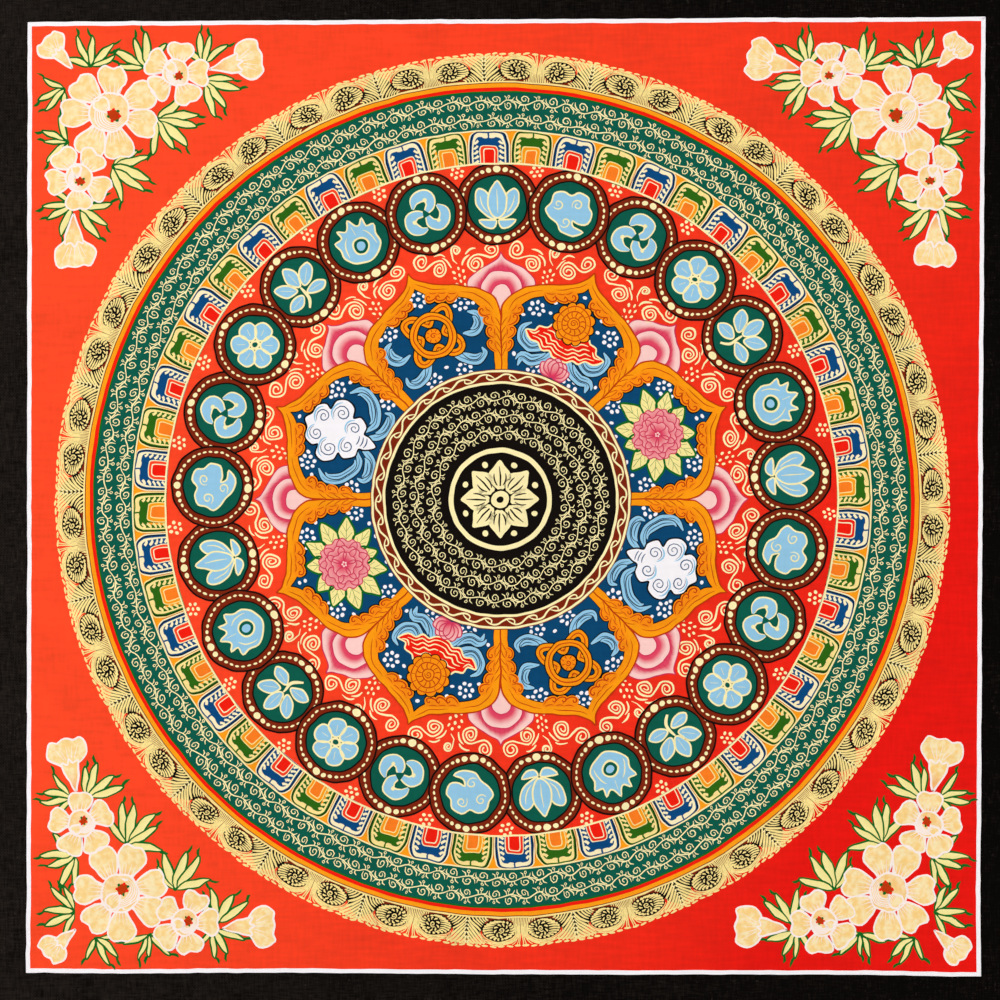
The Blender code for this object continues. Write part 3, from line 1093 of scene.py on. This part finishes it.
def pinkPetal():
    # three arches, each pale at its rim and deep where the next one rises over it
    art = Art()

    def arch(half):
        right = smoothLine(half, 5)
        return np.vstack((flipped(right[:0:-1]), right))
    outer = arch([(0, 28.4), (1.6, 25.2), (5.6, 22.6), (10.6, 19.8), (14.8, 15.8), (15.8, 10.6), (13.0, 4.0)])
    second = arch([(0, 19.2), (4.2, 18.4), (7.8, 15.6), (9.6, 11.6), (9.6, 8.0), (8.4, 4.4), (6.0, 0.0)])
    core = arch([(0, 11.9), (2.5, 11.2), (4.4, 9.2), (4.9, 6.4), (4.2, 3.4), (2.8, 0.6), (1.0, -2.0)])
    for outline, inside, coat in ((outer, second, 2), (second, core, 3)):
        edge, deep = blend(outline, inside, 0.26), blend(outline, inside, 0.72)
        art.loft("pink", outline * 1.004, edge, 1, coat, (0.0, 0.08))
        art.loft("pink", edge, deep, 2, coat, (0.08, 0.95))
        art.loft("pink", deep, inside * 0.97, 1, coat, (0.95, 1.0))
    art.fill("pink", core * 1.01, 4, 0.06)
    for line in (outer, second, core):
        art.stroke("rose", line, 0.5, (0.6, 0.6), 5)
    for k in range(4, len(outer) - 4, 3):
        art.stroke("rose", blend(outer[k], second[k], np.array([[0.5], [0.9]])), 0.3, (0.2, 0.6), 5)
    return art


def orangePetal():
    # blue window in an orange border, with curled leaves at its shoulders and down its sides
    art = Art()
    side = lotus["half"]
    outer = smoothLine([(0, 27.0), (1.9, 22.8), (6.0, 18.9), (12.0, 16.0), (19.5, 13.6), (27.4, 11.0),
                        (34.2, 7.0), (38.2, 1.6), (side, -5.0), (side, -18.0), (side, -33.4)], 4)
    inner = smoothLine([(0, 18.8), (1.8, 15.6), (5.2, 12.6), (10.4, 10.2), (16.8, 8.4), (23.4, 6.0),
                        (29.0, 1.8), (32.8, -4.4), (34.4, -12.6), (34.8, -22.0), (34.6, -33.4)], 4)
    art.fill("blue", np.vstack((inner, flipped(inner[:0:-1]))) * 1.01, 6, cell=4.5)
    leaf = smoothLine([(1.4, -3.2), (-1.4, -2.6), (-3.0, -0.8), (-3.0, 1.2), (-1.6, 2.5), (0.2, 2.6),
                       (1.6, 1.2)], 3, closed=True)
    hook = smoothLine([(0.6, -2.9), (-1.5, -1.7), (-2.4, 0.0), (-1.9, 1.5), (-0.6, 1.6), (-0.4, 0.7),
                       (-1.1, 0.4)], 2)
    leaf, hook = leaf * lotus["lobe"], hook * lotus["lobe"]
    for way in (1, -1):
        def put(points):
            return moved(points, flip=way)
        art.loft("orange", put(outer), put(inner), 3, 8, (0.0, 0.35))
        art.stroke("brown", put(outer), 0.7, (0.8, 0.8), 10)
        art.stroke("brown", put(blend(outer, inner, 0.42)[3:15]), 0.4, (0.3, 0.2), 10)
        art.stroke("brown", put(blend(outer, inner, 0.5)[17:29]), 0.4, (0.2, 0.3), 10)
        art.stroke("black", put(inner), 1.0, (0.9, 0.9), 7)
        for place in lotus["lobes"]:
            turn = math.degrees(math.atan2(*(inner[place - 1] - inner[place + 1])))
            at = inner[place]
            art.fill("black", put(moved(leaf * (1.13, 1.1) - (0.25, 0), *at, turn)), 7)
            art.fill("orange", put(moved(leaf, *at, turn)), 9, 0.5)
            art.stroke("brown", put(moved(hook, *at, turn)), 0.62, (0.3, 0.6), 10)
            rib = bow((1.6, -2.6), (1.4, 1.4), 0.5, 5)
            art.stroke("brown", put(moved(rib, *at, turn)), 0.4, (0.3, 0.2), 10)
        for y in (-7.0, -11.0, -15.0, -19.0, -23.0):
            art.stroke("brown", put(bow((side - 0.5, y - 2.4), (side - 3.4, y + 1.6), -0.3, 4)), 0.42,
                       (0.8, 0.2), 10)
    return art


layRing("pinkPetal", pinkPetal(), lotus["radius"], lotus["petals"])
layRing("lotus", orangePetal(), lotus["radius"], lotus["petals"], lotus["turn"])
print("stage 10: lotus painted")

# Figures in the eight windows, with the widths of their ribbons and dots
figures = dict(radius=92.0, size=1.05, scarf=3.6, dots=1.1)


def scarves(art, *paths):
    # folded light blue ribbons on both sides: two strands from one start, dark edges and folds
    for path in paths:
        path, wide = smoothLine(path, 6), figures["scarf"]
        way = np.gradient(path, axis=0)
        side = np.column_stack((-way[:, 1], way[:, 0])) / np.hypot(*way.T)[:, None]
        for flip in (-1, 1):
            for strand, width, coat in ((path, wide, 8), ((path + side * wide * 0.6)[4:-3], wide * 0.72, 9)):
                strand = moved(strand, flip=flip)
                art.stroke("black", strand, width + 1.0, (0.3, 0.3), coat)
                art.stroke("sky", strand, width, (0.2, 0.2), coat + 0.4)
                art.stroke("blue", strand[3:-4], 0.42, (0.3, 0.3), coat + 0.8)


def starsAndDots(art, stars, dots):
    for x, y in bothSides(stars):
        art.copy(dotCluster("white", 3.3, 1.05, 7, 7), x=x, y=y, turn=7 * x)
    for x, y in bothSides(dots):
        art.oval("white", x, y, figures["dots"], figures["dots"] * 0.8, 30 * x, 7, 8)


def cloudBank(art):
    # red bank with scalloped edge and lines of cream
    bank = mirrored([(0, -12.6), (3.6, -12.2), (6.4, -10.2), (10.0, -11.0), (13.0, -8.2), (17.0, -8.4),
                     (21.0, -4.6), (16.8, -3.6), (15.6, -0.4), (11.4, 0.4), (9.0, 3.0), (0, 3.4)], 3)
    art.fill("brightRed", bank, 9.9, 0.3)
    art.stroke("cream", closed(bank), 0.85, (1, 1), 10.1)
    for side in (-1, 1):
        for path in (((0, -10.6), (3.4, -10.2), (6.4, -8.2), (9.8, -9.0), (12.6, -6.4), (16.6, -6.4)),
                     ((0, -8.4), (3.0, -8.2), (5.6, -6.4), (8.8, -6.8), (10.8, -4.6), (14.4, -4.6)),
                     ((0.4, -6.2), (2.6, -6.0), (4.6, -4.6), (7.4, -4.8), (9.2, -3.0), (12.6, -2.6)),
                     ((3.0, -3.0), (5.6, -2.6), (7.6, -1.0), (11.0, -1.0)),
                     ((14.6, -2.6), (16.4, -5.0), (19.2, -4.8))):
            art.stroke("cream", moved(smoothLine(path, 3), flip=side), 0.7, (0.5, 0.3), 10.1)


def sunFigure():
    # scalloped orange rosette on a red cloud bank over a pink lotus seat, with ribbons
    art = Art()
    cloudBank(art)
    scarves(art, [(5, -3), (10.5, -9.5), (16.0, -12.5), (21.5, -9.5), (23.0, -4.0), (19.5, -0.5)],
            [(3, -8), (7.5, -15.0), (12.5, -18.5), (17.5, -18.5), (18.0, -22.5)])
    for turn, wide in ((-64, 3.4), (64, 3.4), (-32, 3.8), (32, 3.8), (0, 3.8)):
        petal = moved(mirrored([(0, 8.6), (wide * 0.8, 6.2), (wide, 3.2), (wide * 0.4, 0), (0, -0.6)]),
                      0, -20.6, turn)
        art.shape("pink", petal, "rose", 0.6, 9.4 if abs(turn) > 40 else 10.4,
                  lambda p: np.clip(1.2 - np.hypot(*(p - (0, -20.6)).T) / 8, 0, 1))
    sun = Art()
    for k in range(12):
        for paint, wide, coat in (("black", 3.8, 10.6), ("orange", 3.1, 11.2)):
            sun.oval(paint, *rim(0, 0, 11.0, 30 * k), wide, sides=12, coat=coat, shade=0.4)
        sun.stroke("brown", moved(bow((0, 4.1), (0.4, 7.7), 0.5, 4), turn=30 * k), 0.7, (0.4, 0.6), 13)
        sun.stroke("brown", moved([(0, 8.6), (0, 10.8)], turn=30 * k + 15), 0.6, (0.6, 0.6), 13)
    sun.disc("orange", 11.5, 12, 4.0)
    for radius in (11.3, 8.0, 3.9):
        sun.stroke("brown", arc(0, 0, radius, 0, 360, 37), 0.65, (1, 1), 13)
    sun.stroke("brown", spiral(0, 0, 2.6, 0.4, 0, 1.6, 18), 0.6, (0.7, 0.5), 13)
    art.copy(sun, y=7.0, size=0.76)
    starsAndDots(art, ((20, 7.0), (9.5, -22.5)),
                 ((9.6, 16.4), (25, 1.5), (27, -7), (5.0, 19.0), (0, 21.0), (12.6, 13.2), (25, -14),
                  (22, -18), (12.8, 7.6)))
    return art


def bloomFigure():
    # full pink bloom among pointed leaves
    art, low = Art(), -3.0
    for order, (turn, long) in enumerate(((180, 18), (-150, 22), (148, 22), (-118, 24), (116, 24), (-86, 24),
                                          (84, 24), (-54, 22), (52, 22), (-22, 19), (20, 19))):
        wide, up = 4.4, 0.12 * order
        leaf = moved(mirrored([(0, long), (wide * 0.6, long * 0.84), (wide, long * 0.64),
                               (wide * 0.5, long * 0.42), (0, 6)]), 0, low, turn)
        art.fill("leaf", leaf, 8 + up, 0.3)
        art.stroke("stem", closed(leaf), 1.0, (1, 1), 8.5 + up)
        art.stroke("stem", moved([(0, 8), (0.2, long * 0.92)], 0, low, turn), 0.5, coat=8.5 + up)
        for side, start, end, out in ((-1, 0.52, 0.68, 2.8), (1, 0.52, 0.68, 2.8), (-1, 0.68, 0.82, 2.0),
                                      (1, 0.68, 0.82, 2.0)):
            art.stroke("stem", moved([(0, long * start), (side * out, long * end)], 0, low, turn), 0.42,
                       coat=8.5 + up)
    for count, reach, wide, level, twist in ((9, 12.8, 5.0, 10.5, 0), (7, 9.4, 4.4, 12, 22),
                                             (5, 6.0, 3.6, 13.2, 8)):
        for k in range(count):
            up = 0.13 * k
            petal = moved(mirrored([(0, reach * 0.90), (wide * 0.5, reach), (wide * 0.98, reach * 0.84),
                                    (wide, reach * 0.6), (wide * 0.5, reach * 0.3), (0, reach * 0.2)]),
                          0, low, twist + 360 * k / count)
            art.fill("pink", petal, level + up,
                     lambda p: np.clip(1.35 - np.hypot(*(p - (0, low)).T) / reach, 0, 1) ** 0.8, 2.4)
            art.stroke("rose", closed(petal), 0.5, (1, 1), level + up + 0.4)
    art.oval("rose", 0, low, 1.8, sides=12, coat=14.4)
    for k in range(5):
        art.oval("pink", *rim(0, low, 0.9, 72 * k), 0.5, 0.5, 0, 6, 14.8, 0.0)
    starsAndDots(art, ((20, 8.5), (21.5, -18)),
                 ((11, 15.6), (25, 2.0), (5.4, 19.0), (0, 21.0), (14.0, -22.5), (7, -22.8), (26.5, -8),
                  (0, 18.0), (14.6, 11.0)))
    return art


def cloudFigure():
    # white scrolled cloud tied with ribbons
    art = Art()
    scarves(art, [(4, -11), (10.5, -15.5), (16.5, -14.0), (22.0, -9.5), (24.0, -3.0), (20.5, 2.0)],
            [(2, -13), (6.5, -20.0), (12.5, -22.5), (17.5, -21.0), (17.5, -17.5)])
    cloud = mirrored([(0, 18.0), (3.6, 15.6), (8.2, 14.4), (10.6, 10.6), (9.2, 7.6), (14.0, 6.4), (16.0, 2.0),
                      (13.6, -2.6), (9.2, -3.8), (11.0, -7.6), (7.8, -11.6), (3.8, -12.0), (2.8, -15.4),
                      (0, -19.5)], 4)
    art.stroke("black", closed(cloud), 1.5, (1, 1), 10)
    art.fill("white", cloud, 11, cell=4.0)
    for side in (-1, 1):
        for x, y, size, turns in ((4.6, 10.0, 3.9, -1.7), (9.2, 1.6, 4.7, -1.9), (4.7, -6.6, 3.8, -1.6)):
            art.stroke("blue", moved(spiral(x, y, size, 0.5, 140, turns, 22), flip=side), 0.5, (0.3, 0.6), 12)
            art.stroke("sky", moved(arc(x, y, size + 0.7, 150, 20, 9), flip=side), 0.8, (0.2, 0.2), 12)
    for y in (-10.5, -12.4, -14.2):
        art.stroke("blue", bow((-2.4, y), (2.4, y), -0.5, 5), 0.5, (0.5, 0.5), 12)
    starsAndDots(art, ((19.5, 8.5), (23.5, -17)),
                 ((13.5, 14.5), (25, 4.0), (6.5, 18.6), (0, 21.0), (28, -6), (14.5, 10.0), (8.5, -24.0),
                  (0, -23.0)))
    return art


def knotFigure():
    # an orange cord of four loops woven over and under a ring, with ribbons
    art, middleY = Art(), 0.5
    scarves(art, [(5, -10), (10.5, -16.5), (16.0, -19.0), (20.5, -17.5), (20.5, -13.5)],
            [(14, -4), (20.0, -5.5), (24.5, -2.0), (24.5, 3.0), (20.5, 5.5)])
    steps = 120
    turn = np.linspace(0, fullTurn, steps + 1)
    circle = np.column_stack((np.cos(turn), np.sin(turn)))
    cord = moved(circle * (10.8 + 4.6 * np.cos(4 * turn))[:, None], 0, middleY, 45)
    ring = circle * 9.8 + (0, middleY)
    over = [cord[np.arange(at - 5, at + 6) % steps] for at in (8, 38, 68, 98)]  # over the ring
    for path, coat in [(cord, 10), (ring, 12)] + [(path, 14) for path in over]:
        art.stroke("black", path, 4.3, (1, 1), coat)
        art.stroke("orange", path, 3.3, (1, 1), coat + 0.6, 0.3)
        art.stroke("brown", path, 0.5, (1, 1), coat + 1.2)
    for radius, paint, coat in ((4.4, "black", 10), (3.8, "orange", 11)):
        art.oval(paint, 0, middleY, radius, sides=20, coat=coat)
    for k in range(8):
        art.stroke("brown", moved([(0, 2.2), (0, 3.6)], 0, middleY, 45 * k), 0.5, (0.6, 0.8), 12)
    art.stroke("brown", spiral(0, middleY, 1.7, 0.3, 0, 1.3, 14), 0.5, (0.6, 0.5), 12)
    starsAndDots(art, ((0, 20.0), (19.5, 10.5), (8.0, -21.0)),
                 ((7.5, 18), (25, 8.5), (26, -9), (0, -16.5), (25, -15), (13.5, 15), (0, -24.5)))
    return art


def layFigures():
    spots = ringSpots(figures["radius"], lotus["petals"], lotus["turn"], figures["size"])
    makers = (sunFigure, bloomFigure, cloudFigure, knotFigure)
    for index, makeFigure in enumerate(makers):
        laySpots("figure", makeFigure(), spots[index::len(makers)])


layFigures()
print("stage 11: figures painted")

# Coats at the centre, above the whole lotus: maroon 15, black 16, lines 17 and up. Rim, disc and lines
# have an outer and an inner radius, and the lines how many straight parts they are made of.
centre = dict(rim=(68.3, 59.0), disc=(60.4, 0.3),
              lines=((67.9, 66.7, 90), (61.7, 60.4, 90), (26.9, 24.4, 60)),
              braidRadius=64.2, braidRepeats=34, size=1.14, stroke=0.47,
              rows=((53.0, 24, 0.0), (44.0, 20, 6.0), (35.0, 16, 3.0)))


def braid():
    # long waves, each starting with a hook beside the end of the one before
    art = Art()
    wave = [(-7.0, 0.9), (-7.3, -0.5), (-5.9, -1.5), (-3.4, -1.4), (-1.0, -0.2), (1.2, 1.2), (3.8, 1.5),
            (6.2, 0.7), (8.4, -0.9)]
    art.stroke("cream", smoothLine(wave, 4), 0.95, (0.6, 0.4), 17)
    return art


def rosette():
    # eight-petalled cream flower with black veins and a ring of dots
    art = Art()
    petal = mirrored([(0, 20.6), (2.6, 17.6), (5.6, 13.6), (5.2, 9.6), (2.6, 6.4), (0, 4.8)])
    for k in range(8):
        art.fill("cream", moved(petal, turn=45 * k), 17)
        art.stroke("black", moved([(0, 17.4), (0.2, 12.0), (0, 7.2)], turn=45 * k), 0.95, (0.3, 0.8), 18)
        for side in (-1, 1):
            art.stroke("black", moved(bow((1.5, 7.6), (3.0, 13.6), -0.7), turn=45 * k, flip=side), 0.7,
                       (0.5, 0.3), 18)
        art.stroke("black", moved(petal[16:21], turn=45 * k), 0.5, coat=18)
        art.oval("cream", *moved([(0, 19.4)], turn=45 * k + 22.5)[0], 1.6, sides=10, coat=17)
    for radius, paint, coat in ((5.6, "black", 19), (4.6, "cream", 20), (1.8, "black", 21)):
        art.oval(paint, 0, 0, radius, sides=24, coat=coat)
    return art


band("centreRim", "maroon", *centre["rim"], 15)
band("centreDisc", "black", *centre["disc"], 16, 60, 12)
for outer, inner, copies in centre["lines"]:
    band("centreLines", "cream", outer, inner, 18, copies)
layRing("braid", braid(), centre["braidRadius"], centre["braidRepeats"], wobble=0.0008)
for radius, repeats, turn in centre["rows"]:
    layRing("centreVine", vine(fullTurn * radius / repeats, centre["size"], centre["stroke"], 17), radius,
            repeats, turn, 0.0016)
laySpots("rosette", rosette(), ringSpots(0.0, 1))
print("stage 12: centre painted")

# The corner sprays: widths of petals' edges and streaks, a leaf's width by its length and its edge's
# own, how far the line runs on past its tip, how far leaves fan out. Coats: leaves 2 to 5, then petals
spray = dict(edge=1.0, streak=0.6, leafWidth=0.118, leafEdge=0.9, tip=3.4, spread=1.1)


def petalFoot(x, y, long):
    # orange at the foot, gone a third of the way up
    return lambda p: np.clip(0.8 - 2.5 * np.hypot(*(p - (x, y)).T) / long, 0, 1)


def blossomPetal(art, x, y, turn, long, wide, coat):
    # round peach petal, white streaks from its foot and a white edge
    outline = moved(mirrored([(0, long * 0.94), (wide * 0.25, long), (wide * 0.46, long * 0.86),
                              (wide * 0.51, long * 0.62), (wide * 0.36, long * 0.33),
                              (wide * 0.17, long * 0.1), (0, 0)], 2), x, y, turn)
    art.fill("blossom", outline, coat, petalFoot(x, y, long), 3.0)
    for lean in (-0.42, -0.26, -0.09, 0.09, 0.26, 0.42):
        art.stroke("shell", moved([(lean * wide * 0.5, long * 0.05), (lean * wide, long * 0.5)], x, y, turn),
                   spray["streak"], (0.9, 0.2), coat + 0.6)
    art.stroke("shell", closed(outline), spray["edge"], (1, 1), coat + 0.6)


def flower(x, y, turn, reach, petals, coat):
    # separate petals round a folded cup, whose eye lies to one side
    art = Art()
    for k in range(petals):
        angle = turn + 360 * k / petals
        foot = moved([(0, reach * 0.3)], x, y, angle)[0]
        blossomPetal(art, *foot, angle + (6 if k % 2 else -5), reach * (0.7 if k % 3 else 0.66),
                     reach * 4.0 / petals, coat + 0.12 * k)
    art.oval("blossom", x, y, reach * 0.4, reach * 0.37, turn, 24, coat + 1.5, 0.12)
    eye = moved([(reach * 0.1, -reach * 0.05)], x, y, turn)[0]
    cup = eye * 0.6 + np.array((x, y)) * 0.4
    art.stroke("shell", closed(arc(x, y, reach * 0.4, 0, 350, 24)), spray["edge"], (1, 1), coat + 2)
    for far in (0.19, 0.23, 0.27, 0.31, 0.35):
        art.stroke("shell", arc(*cup, reach * far, 110 - turn, 340 - turn, 16), spray["streak"],
                   (0.2, 0.2), coat + 2)
    blossomPetal(art, *moved([(-reach * 0.02, 0)], x, y, turn)[0], turn - 52, reach * 0.34,
                 reach * 0.3, coat + 2.4)
    art.oval("brown", *eye, reach * 0.13, reach * 0.11, 20, 12, coat + 3.4)
    for k in range(7):
        spot = moved([(0, reach * 0.12)], *eye, 51 * k)[0]
        art.oval("stem" if k % 2 else "brightRed", *spot, reach * 0.035, reach * 0.03, 0, 6, coat + 4)
    return art


def trumpet(x, y, turn, long, coat):
    # an opening bud: narrow folded tube and a frilled mouth
    art, size = Art(), long / 26.0
    mouth = [(0, 26.0), (4.2, 24.7), (8.0, 25.2), (10.4, 20.8), (9.2, 16.1), (4.6, 12.5), (0, 10.9)]
    tube = [(0, 15.6), (1.6, 13.0), (4.6, 14.0), (3.2, 6.8), (0.5, 0), (0, -0.6)]
    for half, up in ((mouth, 0), (tube, 1.4)):
        outline = moved(mirrored(half), x, y, turn, size)
        art.fill("blossom", outline, coat + up, petalFoot(x, y, long), 3.5)
        art.stroke("shell", closed(outline), spray["edge"], (1, 1), coat + up + 0.6)
    for lean in (-0.55, -0.28, 0.0, 0.28, 0.55):
        art.stroke("shell", moved([(lean * 5.0, 15.6), (lean * 12.0, 22.4)], x, y, turn, size),
                   spray["streak"], (0.7, 0.2), coat + 0.8)
    return art


def leafSprig(art, x, y, leaves):
    # lance leaves on short stalks from one node, each outlined in green that runs on past its tip
    middle = sum(turn for turn, _, _ in leaves) / len(leaves)
    for order, (turn, long, lean) in enumerate(leaves):
        wide, coat, foot = long * spray["leafWidth"], 2 + 0.5 * order, 0.8 + 1.3 * (order % 2)
        turn = middle + (turn - middle) * spray["spread"]
        right = smoothLine([(0, 0), (wide * 0.7, long * 0.16), (wide, long * 0.46),
                            (wide * 0.82, long * 0.74), (wide * 0.36, long * 0.93), (0, long)], 2)
        sway = [moved(np.column_stack((p[:, 0] + lean * 1.5 * (p[:, 1] / long) ** 2, p[:, 1] + foot)),
                      x, y, turn) for p in (right, flipped(right))]
        art.loft("leaf", sway[0], sway[1], 2, coat, (0.0, 0.45))
        for edge in sway:
            art.stroke("stem", edge, spray["leafEdge"], (0.6, 0.9), coat + 0.3)
        art.stroke("stem", moved([(0, 0), (0, foot)], x, y, turn), 1.1, (1, 0.8), coat)
        tip = bow((lean * 1.5, long + foot - 1.0), (lean * 3.6, long + foot + spray["tip"]), -lean * 0.6, 4)
        art.stroke("stem", moved(tip, x, y, turn), 1.4, (0.8, 0.2), coat + 0.3)


def cornerSpray():
    # measured from the panel's corner: x inwards, y towards the foot is negative
    art = Art()
    for x, y, leaves in (
            (33, -25.5, ((-54, 13, -1), (-26, 16, 1), (6, 16, -1), (36, 16, 1), (64, 14, -1))),
            (20.0, -36, ((-80, 12, 1), (-112, 14, -1), (-142, 15, 1), (-172, 13, -1))),
            (62, -26, ((-82, 14, 1), (-54, 17, -1), (-26, 16, 1), (2, 17, -1), (30, 16, 1))),
            (22.0, -64, ((-34, 14, 1), (-66, 13, -1), (-96, 12, 1), (-126, 14, -1), (-156, 16, 1))),
            (92.5, -23.5, ((-40, 14, -1), (-12, 15, 1), (16, 15, -1), (42, 14, 1))),
            (92, -32, ((84, 16, 1), (108, 18, -1), (134, 18, 1), (160, 18, -1))),
            (68, -52, ((62, 17, -1), (84, 20, 1), (106, 21, -1), (128, 20, 1), (152, 18, -1), (178, 17, 1))),
            (44, -77, ((56, 15, 1), (80, 19, -1), (104, 21, 1), (128, 20, -1), (154, 19, 1))),
            (24.0, -97, ((-62, 13, 1), (-92, 14, -1), (-122, 15, 1), (-150, 16, -1))),
            (26, -99, ((60, 15, 1), (88, 17, -1), (114, 18, 1), (142, 18, -1)))):
        leafSprig(art, x, y, leaves)
    for part in (trumpet(97, -26, 76, 27, 5), trumpet(24.0, -103, 177, 27, 5), trumpet(23, -25, -42, 20, 5),
                 flower(43, -49, 8, 25.5, 7, 5), flower(78.5, -28.5, 12, 17, 5, 7),
                 flower(27, -83, 40, 17, 5, 7)):
        art.copy(part)
    return art


def layCorners():
    left, right, top, foot = (panel[side] * mm for side in ("left", "right", "top", "foot"))
    quarter = math.pi / 2
    laySpots("cornerSpray", cornerSpray(), ((left, top, 0, 1, 1), (right, top, 0, 1, -1),
                                            (left, foot, -quarter, 1, 1), (right, foot, quarter, 1, -1)),
             0.0024)


layCorners()
print("stage 13: corner sprays painted")


def gather():
    # every name and paint becomes one plain piece with its own map
    pieces = []
    for (name, paint), meshes in laid.items():
        whole = bmesh.new()
        for mesh in meshes:
            whole.from_mesh(mesh)
        made = bpy.data.meshes.new(name + paint[0].upper() + paint[1:])
        whole.to_mesh(made)
        whole.free()
        made.materials.append(materials[paint])
        mapFlat(made)
        piece = bpy.data.objects.new(made.name, made)
        bpy.context.scene.collection.objects.link(piece)
        pieces.append(piece)
        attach(piece, "root")
    return pieces


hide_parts("painted_cloth")
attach(clothPiece, "root")
paintPieces = gather()
triangles = sorted(((sum(len(face.vertices) - 2 for face in piece.data.polygons), piece.name)
                    for piece in paintPieces), reverse=True)
print("stage 14:", len(paintPieces), "paint pieces,", sum(count for count, _ in triangles), "triangles",
      triangles[:6])

# The camera sees as much cloth as the photograph; floor has its height, reach and colour, sky its
# colour and strength, and each lamp its place, size and power
studio = dict(width=0.5236, lens=100.0, sensor=36.0, x=-0.0025, z=-0.2798,
              floor=(-0.80, 8.0, (0.75, 0.74, 0.72, 1)), sky=((1.0, 0.99, 0.97, 1), 0.28),
              lamps=(("keyLamp", (-1.5, -1.5, 0.35), 1.3, 27.0), ("fillLamp", (1.6, -1.5, 0.15), 1.5, 19.0),
                     ("backLamp", (0.4, 1.9, 0.7), 1.4, 22.0)))


def makeStage():
    # face on, evenly lit from both sides, over a pale floor
    scene = bpy.context.scene
    camera = bpy.data.objects.new("camera", bpy.data.cameras.new("camera"))
    camera.data.lens, camera.data.sensor_width = studio["lens"], studio["sensor"]
    away = studio["width"] * studio["lens"] / studio["sensor"]
    camera.location = (studio["x"], -away, studio["z"])
    camera.rotation_euler = (math.pi / 2, 0, 0)
    scene.collection.objects.link(camera)
    scene.camera = camera
    for name, place, size, power in studio["lamps"]:
        lamp = bpy.data.objects.new(name, bpy.data.lights.new(name, "AREA"))
        lamp.data.size, lamp.data.energy = size, power
        lamp.location = place
        aim = Vector((0, 0, studio["z"])) - Vector(place)
        lamp.rotation_euler = aim.to_track_quat("-Z", "Y").to_euler()
        scene.collection.objects.link(lamp)
    world = bpy.data.worlds.new("studio")
    world.use_nodes = True
    for socket, value in zip(world.node_tree.nodes["Background"].inputs, studio["sky"]):
        socket.default_value = value
    scene.world = world
    low, reach, grey = studio["floor"]
    mesh = bpy.data.meshes.new("floor")
    mesh.from_pydata([(-reach, -reach, low), (reach, -reach, low), (reach, reach, low),
                      (-reach, reach, low)], [], [(0, 1, 2, 3)])
    floor = bpy.data.objects.new("floor", mesh)
    scene.collection.objects.link(floor)
    paint, board, shader = newMaterial("paleFloor", 0.2)
    shader.inputs["Base Color"].default_value = grey
    shader.inputs["Roughness"].default_value = 0.8
    mesh.materials.append(paint)
    scene.view_settings.view_transform = "Standard"


makeStage()
print("stage 15: set for the camera")
